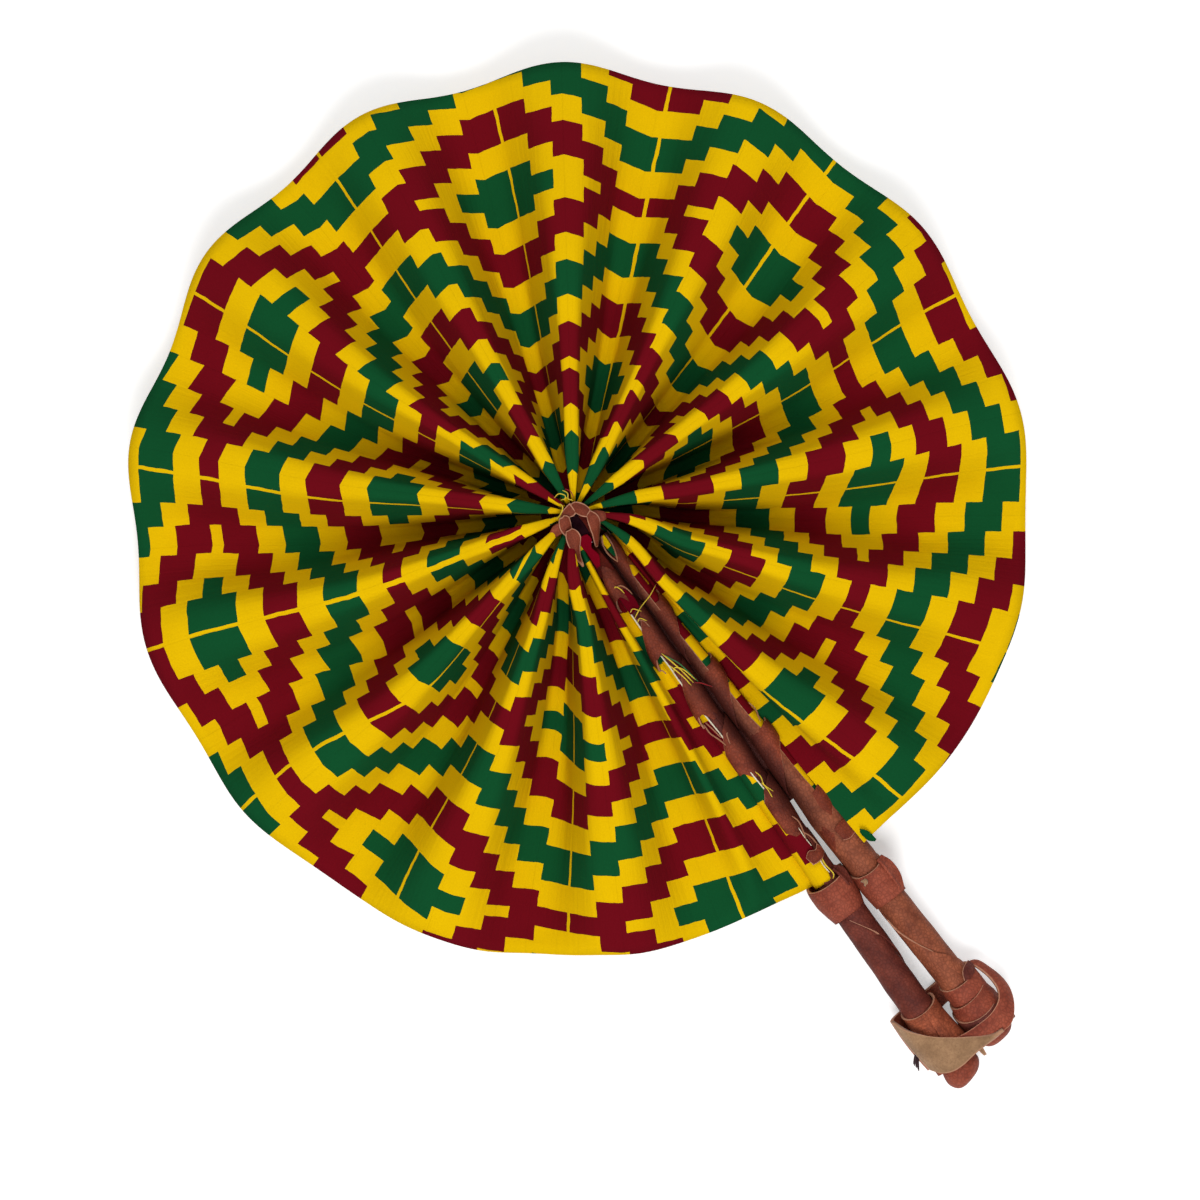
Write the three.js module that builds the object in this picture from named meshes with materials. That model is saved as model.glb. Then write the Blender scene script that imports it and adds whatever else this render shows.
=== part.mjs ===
// A pleated cloth folding fan on two leather-covered sticks, opened to a full disc and laid face up.
// Millimetres, +Z up. The origin is under the centre of the disc, on the surface that the fan lies on.
// The sticks point along -Y, the left one on the -X side. Compass angles below are in degrees,
// counter-clockwise from the line of the sticks, so the right stick is near 0 and the left near 360.
import * as THREE from "three";

// The pleated cloth.
const PANELS = 27;
const CLOTH_FULLNESS = 1.052;
const RIM_RADIUS = 130;
const RIM_SHIFT = 2.7;
const RIM_DIP = 1.4;
const INNER_RADIUS = 7;
const FIRST_FOLD = 14;
const CLOTH_THICKNESS = 0.4;
const FOLD_BEND = 1.6;
const WIDEST_BEND_SHARE = 0.4;
const MIDDLE_HEIGHT = 16.5;
const HEM_LIFT = 1.5;

// The sticks, measured along each stick from the level of the fan's centre.
const RIM_AT_STICKS = RIM_RADIUS - RIM_SHIFT;
const STICK_START = 19;
const STICK_SPREAD = 0.0279;
const STICK_OFFSET = 2.5;
const BOUND_RADIUS_START = 2.3;
const BOUND_RADIUS_RIM = 4.75;
const HANDLE_RADIUS = 4.6;
const LEATHER = 0.6;
const GAP = 0.3;
const LEFT_LENGTH = 200.3;
const RIGHT_LENGTH = 196.2;
const CAP_LENGTH = 6.2;
const CAP_RADIUS = 6.5;

// The bindings.
const LACE_WIDTH = 7;
const LACE_THICKNESS = 0.7;
const LACE_START = 27;
const LACE_TO_RIM = 6.3;
const LACE_END = RIM_AT_STICKS - LACE_TO_RIM;
const LEFT_LACE = { pitch: 20.9, outerAt: 47 };
const RIGHT_LACE = { pitch: 23.5, outerAt: 34.3 };
const LEFT_COLLAR = { from: RIM_AT_STICKS + 0.6, length: 12.4, top: 5.8, bottom: 5.4 };
const RIGHT_COLLAR = { from: RIM_AT_STICKS + 3.9, length: 12.4, top: 5.4, bottom: 5.3 };
const COLLAR_LIP = 1.2;
const WRAP_START = 172;
const WRAP_RADIUS_START = 5.4;
const RIGHT_BAND_END = 189.6;
const BAND_TURNS = 3;
const BAND_LAP = 0.35;
const BAND_EDGE_SLANT = 0.01;
const STRAP_WIDTH = 8.5;
const STRAP_THICKNESS = 1.2;
const STRAP_MIDDLE = 180.5;
const STRAP_SLANT = 7;
const STRAP_LOW_SIDE = 50;

// The laced ring in the middle and the knot behind it.
const RING_OUTER = 6.4;
const RING_HOLE = 2.3;
const RING_HEIGHT = 4;
const RING_DROP = 2;
const KNOT_RADIUS = 6.4;
const KNOT_HEIGHT = 4;
const KNOT_TOP_SHARE = 0.6;
const LEAD_LAP = 4;
const LEAD_WIDTH = 2.8;
const LEAD_START_OFFSET = 1.8;

// How finely the round and folded shapes are divided.
const SIDES = 16;
const RING_SIDES = 24;
const RING_STEPS = 8;
const LACE_STEPS = 16;
const STRAP_ARC_STEPS = 9;
const LEAD_STEPS = 6;
const RADIAL_STEPS = [0, 0.07, 0.2, 0.38, 0.57, 0.76, 0.9, 1];

const FULL_TURN = 360;
const HALF_TURN = 180;
const radians = THREE.MathUtils.degToRad;
const degrees = THREE.MathUtils.radToDeg;
const mix = THREE.MathUtils.lerp;

const clothMaterial = new THREE.MeshStandardMaterial({ color: 0xe9c400, roughness: 0.85, metalness: 0 });
const darkLeather = new THREE.MeshStandardMaterial({ color: 0x6b3a30, roughness: 0.55, metalness: 0 });
const brownLeather = new THREE.MeshStandardMaterial({ color: 0x8a5240, roughness: 0.55, metalness: 0 });
const redLeather = new THREE.MeshStandardMaterial({ color: 0xa05644, roughness: 0.6, metalness: 0 });
const suede = new THREE.MeshStandardMaterial({ color: 0xa5835f, roughness: 0.95, metalness: 0 });
const wood = new THREE.MeshStandardMaterial({ color: 0xb08a5a, roughness: 0.7, metalness: 0 });

// The slope that brings the left end cap down to the surface while the sticks start at middle height.
const CAP_CONTACT = LEFT_LENGTH - CAP_LENGTH / 2;
const STICK_SLOPE = (MIDDLE_HEIGHT - CAP_RADIUS) / (CAP_CONTACT - STICK_START);

const axisOffset = (distance) => STICK_OFFSET + STICK_SPREAD * (distance - STICK_START);
const axisDrop = (distance) => STICK_SLOPE * Math.max(distance - STICK_START, 0);

// The outer radius of the bound part of a stick, lacing included.
function boundRadius(distance) {
  const share = (distance - STICK_START) / (RIM_RADIUS - STICK_START);
  return mix(BOUND_RADIUS_START, BOUND_RADIUS_RIM, share);
}

const sleeveRadius = (distance) => boundRadius(distance) - LACE_THICKNESS - GAP;

// Turns a list of points and triangles into a closed body whose faces point outwards.
function closedBody(points, triangles) {
  const volume = triangles.reduce((sum, [a, b, c]) => {
    const cross = new THREE.Vector3().crossVectors(points[b], points[c]);
    return sum + points[a].dot(cross);
  }, 0);
  const facing = volume > 0 ? triangles : triangles.map(([a, b, c]) => [a, c, b]);
  const geometry = new THREE.BufferGeometry().setFromPoints(points);
  geometry.setIndex(facing.flat());
  geometry.computeVertexNormals();
  return geometry;
}

// Joins rings of points into a body: one with flat ends, or a loop when it closes on itself.
function sweptBody(rings, closesOnItself = false) {
  const count = rings[0].length;
  const triangles = [];
  const last = closesOnItself ? rings.length : rings.length - 1;
  for (let i = 0; i < last; i++) {
    const here = i * count;
    const next = ((i + 1) % rings.length) * count;
    for (let j = 0; j < count; j++) {
      const side = (j + 1) % count;
      triangles.push([here + j, next + j, next + side], [here + j, next + side, here + side]);
    }
  }
  if (!closesOnItself) {
    const end = (rings.length - 1) * count;
    for (let j = 1; j < count - 1; j++) {
      triangles.push([0, j, j + 1], [end, end + j + 1, end + j]);
    }
  }
  return closedBody(rings.flat(), triangles);
}

// A body turned about its own Y axis from [radius, height] pairs.
function turnedBody(profile, sides = SIDES) {
  const lathe = new THREE.LatheGeometry(profile.map(([x, y]) => new THREE.Vector2(x, y)), sides);
  const position = lathe.getAttribute("position");
  const index = lathe.getIndex();
  let volume = 0;
  const corner = [new THREE.Vector3(), new THREE.Vector3(), new THREE.Vector3()];
  for (let i = 0; i < index.count; i += 3) {
    corner.forEach((point, j) => point.fromBufferAttribute(position, index.getX(i + j)));
    volume += corner[0].dot(corner[1].clone().cross(corner[2]));
  }
  if (volume < 0) {
    for (let i = 0; i < index.count; i += 3) {
      const second = index.getX(i + 1);
      index.setX(i + 1, index.getX(i + 2));
      index.setX(i + 2, second);
    }
  }
  return lathe;
}

// A tube given by its outer profile and the radius of its straight bore.
function turnedTube(outer, bore, sides = SIDES) {
  const start = [bore, outer[0][1]];
  const end = [bore, outer[outer.length - 1][1]];
  return turnedBody([start, ...outer, end, start], sides);
}

function piece(name, geometry, material) {
  const mesh = new THREE.Mesh(geometry, material);
  mesh.name = name;
  return mesh;
}

// The compass angle that the sticks and their lacing take up on each side at a radius.
function stickAngle(radius) {
  const reach = axisOffset(radius) + boundRadius(radius) + GAP;
  return degrees(Math.asin(Math.min(reach / radius, 1)));
}

// Fold 0 is the hem on the left stick, the last is the hem on the right one. Near the middle the
// sticks take more of the turn, which pushes all folds together a little.
function foldAngle(fold, radius) {
  const rimHem = stickAngle(RIM_RADIUS);
  const step = (FULL_TURN - rimHem - FIRST_FOLD) / (PANELS - 1);
  const atRim = fold === PANELS ? rimHem : FULL_TURN - rimHem - step * fold;
  const room = (HALF_TURN - stickAngle(radius)) / (HALF_TURN - rimHem);
  return HALF_TURN + (atRim - HALF_TURN) * room;
}

const isHem = (fold) => fold === 0 || fold === PANELS;
const isRidge = (fold) => (PANELS - fold) % 2 === 1;

const foldSpan = (radius) => radius * radians(foldAngle(1, radius) - foldAngle(2, radius));
const PANEL_WIDTH = CLOTH_FULLNESS * foldSpan(RIM_RADIUS);

// Half the height between ridges and valleys: what the cloth's width leaves after its span.
function foldRise(radius) {
  return Math.sqrt(PANEL_WIDTH ** 2 - foldSpan(radius) ** 2) / 2;
}

function foldHeight(fold, radius) {
  if (isHem(fold)) return MIDDLE_HEIGHT - axisDrop(radius) + HEM_LIFT;
  return MIDDLE_HEIGHT + (isRidge(fold) ? foldRise(radius) : -foldRise(radius));
}

// The outer edge: a circle set a little away from the sticks, drawn in at the valleys.
function rimRadius(angle, valleyShare) {
  return RIM_RADIUS - RIM_SHIFT * Math.cos(radians(angle)) - RIM_DIP * valleyShare;
}

// A panel's section: level at both folds, bent there, and straight between the bends.
function pleatSection(width, drop, bend) {
  const tall = Math.abs(drop);
  const distance = Math.hypot(width, tall - 2 * bend);
  const tilt = Math.atan2(tall - 2 * bend, width) + Math.asin(Math.min(2 * bend / distance, 1));
  const arc = [0, tilt / 2, tilt].map((turn) => ({
    x: bend * Math.sin(turn),
    z: bend * (1 - Math.cos(turn)),
    turn,
  }));
  const mirrored = arc.map(({ x, z, turn }) => ({ x: width - x, z: tall - z, turn })).reverse();
  const down = Math.sign(drop);
  return [...arc, ...mirrored].map(({ x, z, turn }) => ({ x, z: -down * z, turn: down * turn }));
}

function panelBody(panel) {
  const sides = [[], []];
  for (const share of RADIAL_STEPS) {
    const radius = mix(INNER_RADIUS, RIM_RADIUS, share);
    const from = radians(foldAngle(panel - 1, radius));
    const width = radius * (from - radians(foldAngle(panel, radius))) - GAP;
    const startHeight = foldHeight(panel - 1, radius);
    const drop = startHeight - foldHeight(panel, radius);
    const bend = Math.min(FOLD_BEND, WIDEST_BEND_SHARE * width);
    const section = pleatSection(width, drop, bend);
    const rows = sides.map(() => []);
    section.forEach(({ x, z, turn }, place) => {
      const along = place / (section.length - 1);
      const valleyShare = mix(isRidge(panel - 1) ? 0 : 1, isRidge(panel) ? 0 : 1, along);
      rows.forEach((row, side) => {
        const out = (side ? -1 : 1) * CLOTH_THICKNESS / 2;
        const angle = from - (GAP / 2 + x + out * Math.sin(turn)) / radius;
        const reach = mix(INNER_RADIUS, rimRadius(degrees(angle), valleyShare), share);
        const height = startHeight + z + out * Math.cos(turn);
        row.push(new THREE.Vector3(reach * Math.sin(angle), -reach * Math.cos(angle), height));
      });
    });
    sides.forEach((side, index) => side.push(rows[index]));
  }
  return slabBody(sides[0], sides[1]);
}

// Closes two matching grids of points into one thin body. Both sides are cut along the same
// diagonals, so that a twisted sheet keeps its thickness.
function slabBody(top, bottom) {
  const rings = top.map((row, index) => [...row, ...[...bottom[index]].reverse()]);
  const count = top[0].length;
  const body = [];
  const points = rings.flat();
  const ringSize = rings[0].length;
  for (let i = 0; i < rings.length - 1; i++) {
    for (let j = 0; j < ringSize; j++) {
      const side = (j + 1) % ringSize;
      const [a, b] = [i * ringSize + j, (i + 1) * ringSize + j];
      const [c, d] = [(i + 1) * ringSize + side, i * ringSize + side];
      if (j < count) body.push([a, b, c], [a, c, d]);
      else body.push([a, b, d], [b, c, d]);
    }
  }
  const end = (rings.length - 1) * ringSize;
  for (let j = 0; j < count - 1; j++) {
    const [a, b] = [j, j + 1];
    const [c, d] = [ringSize - 2 - j, ringSize - 1 - j];
    body.push([a, b, c], [a, c, d]);
    body.push([end + a, end + c, end + b], [end + a, end + d, end + c]);
  }
  return closedBody(points, body);
}

// A flat lace wound round a stick, so that it crosses the stick's outer side at a given distance
// and again a pitch further on.
function woundLace(name, { pitch, outerAt }) {
  const steps = Math.round(LACE_STEPS * (LACE_END - LACE_START) / pitch);
  const rings = [];
  for (let i = 0; i <= steps; i++) {
    const middle = mix(LACE_START, LACE_END, i / steps);
    const turn = Math.PI / 2 + 2 * Math.PI * (middle - outerAt) / pitch;
    const corners = [[-1, 0], [1, 0], [1, 1], [-1, 1]];
    rings.push(corners.map(([side, outer]) => {
      const distance = middle + side * LACE_WIDTH / 2;
      const radius = sleeveRadius(distance) + GAP + outer * LACE_THICKNESS;
      return new THREE.Vector3(radius * Math.sin(turn), distance, radius * Math.cos(turn));
    }));
  }
  console.log(name, "least gap between turns", leastGap(rings).toFixed(2), "mm");
  return sweptBody(rings);
}

// The least distance between points of a winding that are more than half a turn apart.
function leastGap(rings) {
  let least = Infinity;
  for (let i = 0; i < rings.length; i++) {
    for (let j = i + LACE_STEPS / 2 + 1; j < rings.length; j++) {
      for (const here of rings[i]) {
        for (const there of rings[j]) least = Math.min(least, here.distanceTo(there));
      }
    }
  }
  return least;
}

// The envelope of the end bindings: they swell towards the tip.
function wrapRadius(distance) {
  const share = (distance - WRAP_START) / (LEFT_LENGTH - CAP_LENGTH - WRAP_START);
  return mix(WRAP_RADIUS_START, CAP_RADIUS, THREE.MathUtils.clamp(share, 0, 1));
}

function sleeveBody(length) {
  const end = length - LEATHER - GAP;
  const flare = RIM_RADIUS + HANDLE_RADIUS;
  const outer = [
    [sleeveRadius(STICK_START), STICK_START],
    [sleeveRadius(LACE_END), LACE_END],
    [HANDLE_RADIUS, flare],
    [HANDLE_RADIUS, end],
  ];
  const inner = outer.map(([radius, distance]) => [radius - LEATHER, distance]).reverse();
  inner[inner.length - 1][1] = STICK_START + LEATHER;
  return turnedBody([[0, STICK_START], ...outer, ...inner, [0, STICK_START + LEATHER]]);
}

function coreBody(length) {
  const start = STICK_START + LEATHER + GAP;
  const end = length - LEATHER - 2 * GAP;
  const wall = LEATHER + GAP;
  const flare = RIM_RADIUS + HANDLE_RADIUS;
  return turnedBody([
    [0, start],
    [sleeveRadius(start) - wall, start],
    [sleeveRadius(LACE_END) - wall, LACE_END],
    [HANDLE_RADIUS - wall, flare],
    [HANDLE_RADIUS - wall, end],
    [0, end],
  ]);
}

function collarBody({ from, length, top, bottom }) {
  const to = from + length;
  const bore = HANDLE_RADIUS + GAP;
  const outer = [[top - GAP, from], [top, from + COLLAR_LIP], [top, (from + to) / 2], [bottom, to]];
  return turnedTube(outer, bore);
}

function anchorWrapBody() {
  const end = LEFT_LENGTH - CAP_LENGTH - GAP;
  const middle = (WRAP_START + end) / 2;
  const outer = [WRAP_START, middle, end].map((distance) => [wrapRadius(distance), distance]);
  return turnedTube(outer, HANDLE_RADIUS + GAP);
}

// A band wound three times with each turn overlapping the last, so that its side is stepped.
function bandBody() {
  const turnLength = (RIGHT_BAND_END - WRAP_START) / BAND_TURNS;
  const outer = [];
  for (let turn = 0; turn < BAND_TURNS; turn++) {
    const start = WRAP_START + turn * turnLength;
    const end = start + turnLength;
    const edge = start + (turn ? BAND_EDGE_SLANT : 0);
    outer.push([wrapRadius(start), edge], [wrapRadius(end) - BAND_LAP, end]);
  }
  return turnedTube(outer, HANDLE_RADIUS + GAP);
}

function capBody(length, radius) {
  const start = length - CAP_LENGTH;
  const inner = HANDLE_RADIUS + GAP;
  const floor = length - LEATHER;
  const crown = CAP_LENGTH / 2;
  const dome = [90, 60, 30, 0].map((angle) => {
    const bulge = radius - crown + crown * Math.cos(radians(90 - angle));
    return [bulge, length - crown + crown * Math.sin(radians(90 - angle))];
  });
  return turnedBody([[inner, start], [radius, start], ...dome, [0, length], [0, floor], [inner, floor],
    [inner, start]]);
}

// A stick with everything bound to it, built along its own Y axis and then laid in place.
function stick({ side, word, length, collar, lace, capRadius, binding, material }) {
  const group = new THREE.Group();
  const laceName = `${word}_whip_lacing`;
  group.add(piece(`${word}_stick_core`, coreBody(length), wood));
  group.add(piece(`${word}_leather_sleeve`, sleeveBody(length), material));
  group.add(piece(laceName, woundLace(laceName, lace), redLeather));
  group.add(piece(`${word}_rim_collar`, collarBody(collar), redLeather));
  group.add(piece(binding.name, binding.body, redLeather));
  group.add(piece(`${word}_end_cap`, capBody(length, capRadius), redLeather));
  const along = new THREE.Vector3(side * STICK_SPREAD, -1, -STICK_SLOPE).normalize();
  const depth = new THREE.Vector3(side, 0, 0).cross(along).normalize();
  const outward = new THREE.Vector3().crossVectors(along, depth);
  group.quaternion.setFromRotationMatrix(new THREE.Matrix4().makeBasis(outward, along, depth));
  group.position.set(side * axisOffset(0), 0, MIDDLE_HEIGHT + STICK_SLOPE * STICK_START);
  return group;
}

// The closing strap: a slanting loop round both stick ends, in front high on the left and low on
// the right, and behind them up again.
function strapBody() {
  const rings = [];
  const around = [];
  for (const side of [1, -1]) {
    for (let i = 0; i <= STRAP_ARC_STEPS; i++) {
      around.push({ side, angle: -90 * side + HALF_TURN * i / STRAP_ARC_STEPS });
    }
  }
  for (const { side, angle } of around) {
    const middle = STRAP_MIDDLE + STRAP_SLANT * Math.cos(radians(angle - STRAP_LOW_SIDE));
    rings.push([[-1, 0], [1, 0], [1, 1], [-1, 1]].map(([edge, outer]) => {
      const distance = middle + edge * STRAP_WIDTH / 2;
      const radius = wrapRadius(distance) + GAP + outer * STRAP_THICKNESS;
      const x = side * axisOffset(distance) + radius * Math.cos(radians(angle));
      const z = MIDDLE_HEIGHT - axisDrop(distance) + radius * Math.sin(radians(angle));
      return new THREE.Vector3(x, -distance, z);
    }));
  }
  return sweptBody(rings, true);
}

// The thong ring that gathers the inner corners of the folds, seen from the front.
function ringBody() {
  const middle = (RING_OUTER + RING_HOLE) / 2;
  const half = (RING_OUTER - RING_HOLE) / 2;
  const top = MIDDLE_HEIGHT + PANEL_WIDTH / 2 - RING_DROP;
  const profile = [];
  for (let i = 0; i <= RING_STEPS; i++) {
    const turn = -2 * Math.PI * i / RING_STEPS;
    const height = top - RING_HEIGHT / 2 + RING_HEIGHT / 2 * Math.sin(turn);
    profile.push([middle + half * Math.cos(turn), height]);
  }
  profile[RING_STEPS] = [...profile[0]];
  return turnedBody(profile, RING_SIDES);
}

function knotBody() {
  return turnedBody([
    [0, 0],
    [KNOT_RADIUS, 0],
    [KNOT_RADIUS, KNOT_HEIGHT / 2],
    [KNOT_RADIUS * KNOT_TOP_SHARE, KNOT_HEIGHT],
    [0, KNOT_HEIGHT],
  ]);
}

// A short end of thong from the ring down on to the start of a stick.
function leadBody(side) {
  const ringTop = MIDDLE_HEIGHT + PANEL_WIDTH / 2 - RING_DROP;
  const landing = STICK_START + LEAD_LAP;
  const rest = MIDDLE_HEIGHT - axisDrop(landing) + sleeveRadius(landing) + GAP;
  const half = LEAD_WIDTH / 2;
  const start = { x: side * LEAD_START_OFFSET, y: RING_OUTER + GAP, z: ringTop - RING_HEIGHT / 2 };
  const end = { x: side * axisOffset(landing), y: landing, z: rest };
  const rings = [];
  for (let i = 0; i <= LEAD_STEPS; i++) {
    const share = i / LEAD_STEPS;
    const ease = THREE.MathUtils.smoothstep(share, 0, 1);
    const x = mix(start.x, end.x, share);
    const y = -mix(start.y, end.y, share);
    const z = mix(start.z, end.z, ease);
    rings.push([[-half, 0], [half, 0], [half, LACE_THICKNESS], [-half, LACE_THICKNESS]]
      .map(([across, up]) => new THREE.Vector3(x + across, y, z + up)));
  }
  return sweptBody(rings);
}

// Stands a turned body on the XY plane, its own axis along +Z.
function placedUpright(geometry) {
  return geometry.rotateX(Math.PI / 2);
}

const fan = new THREE.Group();
for (let panel = 1; panel <= PANELS; panel++) {
  fan.add(piece(`cloth_panel_${String(panel).padStart(2, "0")}`, panelBody(panel), clothMaterial));
}
fan.add(stick({
  side: -1,
  word: "left",
  length: LEFT_LENGTH,
  collar: LEFT_COLLAR,
  lace: LEFT_LACE,
  capRadius: CAP_RADIUS,
  binding: { name: "left_anchor_wrap", body: anchorWrapBody() },
  material: darkLeather,
}));
fan.add(stick({
  side: 1,
  word: "right",
  length: RIGHT_LENGTH,
  collar: RIGHT_COLLAR,
  lace: RIGHT_LACE,
  capRadius: wrapRadius(RIGHT_BAND_END) - GAP,
  binding: { name: "right_wound_band", body: bandBody() },
  material: brownLeather,
}));
fan.add(piece("closing_strap", strapBody(), suede));
fan.add(piece("centre_lacing_ring", placedUpright(ringBody()), redLeather));
fan.add(piece("centre_back_knot", placedUpright(knotBody()), darkLeather));
fan.add(piece("left_lacing_lead", leadBody(-1), redLeather));
fan.add(piece("right_lacing_lead", leadBody(1), redLeather));

export default fan;
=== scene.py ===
"""A pleated fan of printed cotton on two leather-covered sticks, opened to a full disc and laid flat.
Lengths below are in millimetres and become metres where a mesh is made. Compass angles are in degrees,
counter-clockwise from the line of the sticks (-Y), as in the solid model."""
import math

import bpy
import numpy as np
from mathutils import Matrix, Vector, noise


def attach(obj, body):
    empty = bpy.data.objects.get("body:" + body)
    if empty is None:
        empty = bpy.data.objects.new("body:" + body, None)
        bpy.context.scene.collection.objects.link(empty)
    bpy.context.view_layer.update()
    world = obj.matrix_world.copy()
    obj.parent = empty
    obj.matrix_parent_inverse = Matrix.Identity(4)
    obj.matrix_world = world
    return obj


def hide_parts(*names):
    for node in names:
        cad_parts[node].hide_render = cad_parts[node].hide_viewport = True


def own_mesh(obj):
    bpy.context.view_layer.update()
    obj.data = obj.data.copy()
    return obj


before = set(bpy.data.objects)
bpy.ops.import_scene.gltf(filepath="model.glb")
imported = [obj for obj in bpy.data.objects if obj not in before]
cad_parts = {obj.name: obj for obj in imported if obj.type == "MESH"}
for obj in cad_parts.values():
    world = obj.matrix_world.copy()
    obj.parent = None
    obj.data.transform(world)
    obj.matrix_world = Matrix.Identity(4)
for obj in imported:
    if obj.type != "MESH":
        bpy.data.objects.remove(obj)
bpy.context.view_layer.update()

MM = 0.001

# The photograph: where the fan's centre lies in it, its scale, and the way that the sticks point.
PHOTO_SIZE = 1200
PHOTO_CENTRE = (579.0, 518.0)
PHOTO_SCALE = 3.435
PHOTO_TURN = 36.95
CAMERA_HEIGHT = 2000.0
SENSOR = 36.0

# The pleated cloth.
PANELS = 27
CLOTH_FULLNESS = 1.052
RIM_RADIUS = 130.0
RIM_SHIFT = 2.7
RIM_SWELL = 0.3
# Where the rim strays: angle, spread and how far out.
RIM_BULGES = (
    (54.0, 25.0, 3.5), (12.0, 6.5, -1.7), (27.0, 8.0, 2.2), (281.0, 7.0, -1.0),
    (311.0, 5.5, 1.4), (326.0, 4.0, -0.7), (349.0, 6.0, -1.1))
INNER_RADIUS = 3.4
CENTRE_SHIFT = (-0.4, 1.9)
FIRST_FOLD = 14.0
LAST_PANEL_WIDTH = 22.5
CLOTH_THICKNESS = 0.3
MIDDLE_HEIGHT = 16.5
CREST_FLAT = 0.75
CREST_BEND = 1.7
RIM_BEND = 13.0
CLOTH_ROWS = 46
CLOTH_COLUMNS = 26
WARP_SPACING = 0.42
WEFT_SPACING = 0.46

# The print, in the flat cloth: one step of the zigzag, half the repeat and where it starts. Each
# colour is two steps wide, with a dark one and yellow in turn.
PRINT_STEP = 4.5
PRINT_PAIR = 4.0
PRINT_HALF_REPEAT = 56.8
PRINT_ROW_SPACING = 54.0
PRINT_START = 18.1
PRINT_ROW_HEIGHT = 79.4
PRINT_SLANT = 0.0510
PRINT_SPREAD = 0.13
PRINT_COLUMNS = (11.2, 19.9, 28.6, 37.3, 45.6)
PRINT_LINE = 0.55
PRINT_PULL = 1.4
# Places where the print is dragged: angle and its spread, distance and its spread, the shifts along
# the strip and outwards, and the tilt in millimetres for each degree.
PRINT_DRAGS = (
    (277, 16, 52, 34, -13, 0, 0),
    (278, 10, 57, 20, 0, 0, 0.35),
    (299, 8, 112, 16, 0, 0, -0.5),
    (322, 9, 63, 20, 0, 0, -0.85),
    (320, 7, 18, 8, 0, -3.5, 0),
    (340, 7, 14, 8, 0, 4, 0),
    (60, 10, 87, 24, 0, 0, -0.7),
    (82, 13, 36, 18, 0, -4, -0.5),
)

# The sticks, measured along each from the level of the fan's centre.
LEFT, RIGHT = -1, 1
BODIES = {LEFT: "left_handle", RIGHT: "right_handle"}
NAMES = {LEFT: "left", RIGHT: "right"}
STICK_START = 19.0
STICK_SPREAD = 0.0279
STICK_OFFSET = 2.5
BOUND_RADIUS_START = 2.3
BOUND_RADIUS_RIM = 4.75
LEFT_LENGTH = 200.3
CAP_LENGTH = 6.2
CAP_RADIUS = 6.5
CAP_FLOOR = 0.25
THONG_THICKNESS = 0.7
THONG_BULGE = 0.55
MIDDLE_CLEARANCE = 0.08
THREAD_SIDES = 6
# A hide coordinate for leather with no pale edge near.
FAR_FROM_EDGE = 9.0

# Colours as they look in even light.
YELLOW = (0.90, 0.73, 0.0)
GREEN = (0.05, 0.30, 0.16)
MAROON = (0.42, 0.03, 0.085)
PALE_EDGE = (0.76, 0.55, 0.44)
CREASE = (0.18, 0.07, 0.05)
# The colour that painted shade darkens the leather towards.
PAINTED_SHADE_COLOUR = (0.20, 0.07, 0.06)
THREAD_COLOURS = {
    "yellow": (0.90, 0.78, 0.20), "green": (0.22, 0.50, 0.28), "red": (0.62, 0.10, 0.12),
    "white": (0.93, 0.90, 0.80), "dark": (0.22, 0.13, 0.15), "tan": (0.66, 0.44, 0.32),
}
BIT_COLOURS = {"green": GREEN, "yellow": YELLOW, "red": (0.48, 0.03, 0.11), "maroon": (0.38, 0.03, 0.09)}

# A UV layer holds millimetres divided by this.
UV_SPAN = 100.0


def linear(colour):
    """A colour as seen on a screen, in the linear values that shaders take."""
    return [c / 12.92 if c <= 0.04045 else ((c + 0.055) / 1.055) ** 2.4 for c in colour] + [1.0]


def smoothstep(x):
    x = np.clip(x, 0.0, 1.0)
    return x * x * (3 - 2 * x)


def mix(a, b, share):
    return a + (b - a) * share


def eased(count):
    """Shares from 0 to 1 that lie closer together at both ends."""
    return 0.5 - 0.5 * np.cos(np.linspace(0, math.pi, count))


def points_between(*pairs):
    """A function that runs straight between the given pairs of place and value."""
    places, values = zip(*pairs)
    return lambda x: np.interp(x, places, values)


def ripple(x, y, scale, seed=0.0):
    """Smooth noise between about -1 and 1."""
    return noise.noise(Vector((x / scale, y / scale, seed)))


# Materials


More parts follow.
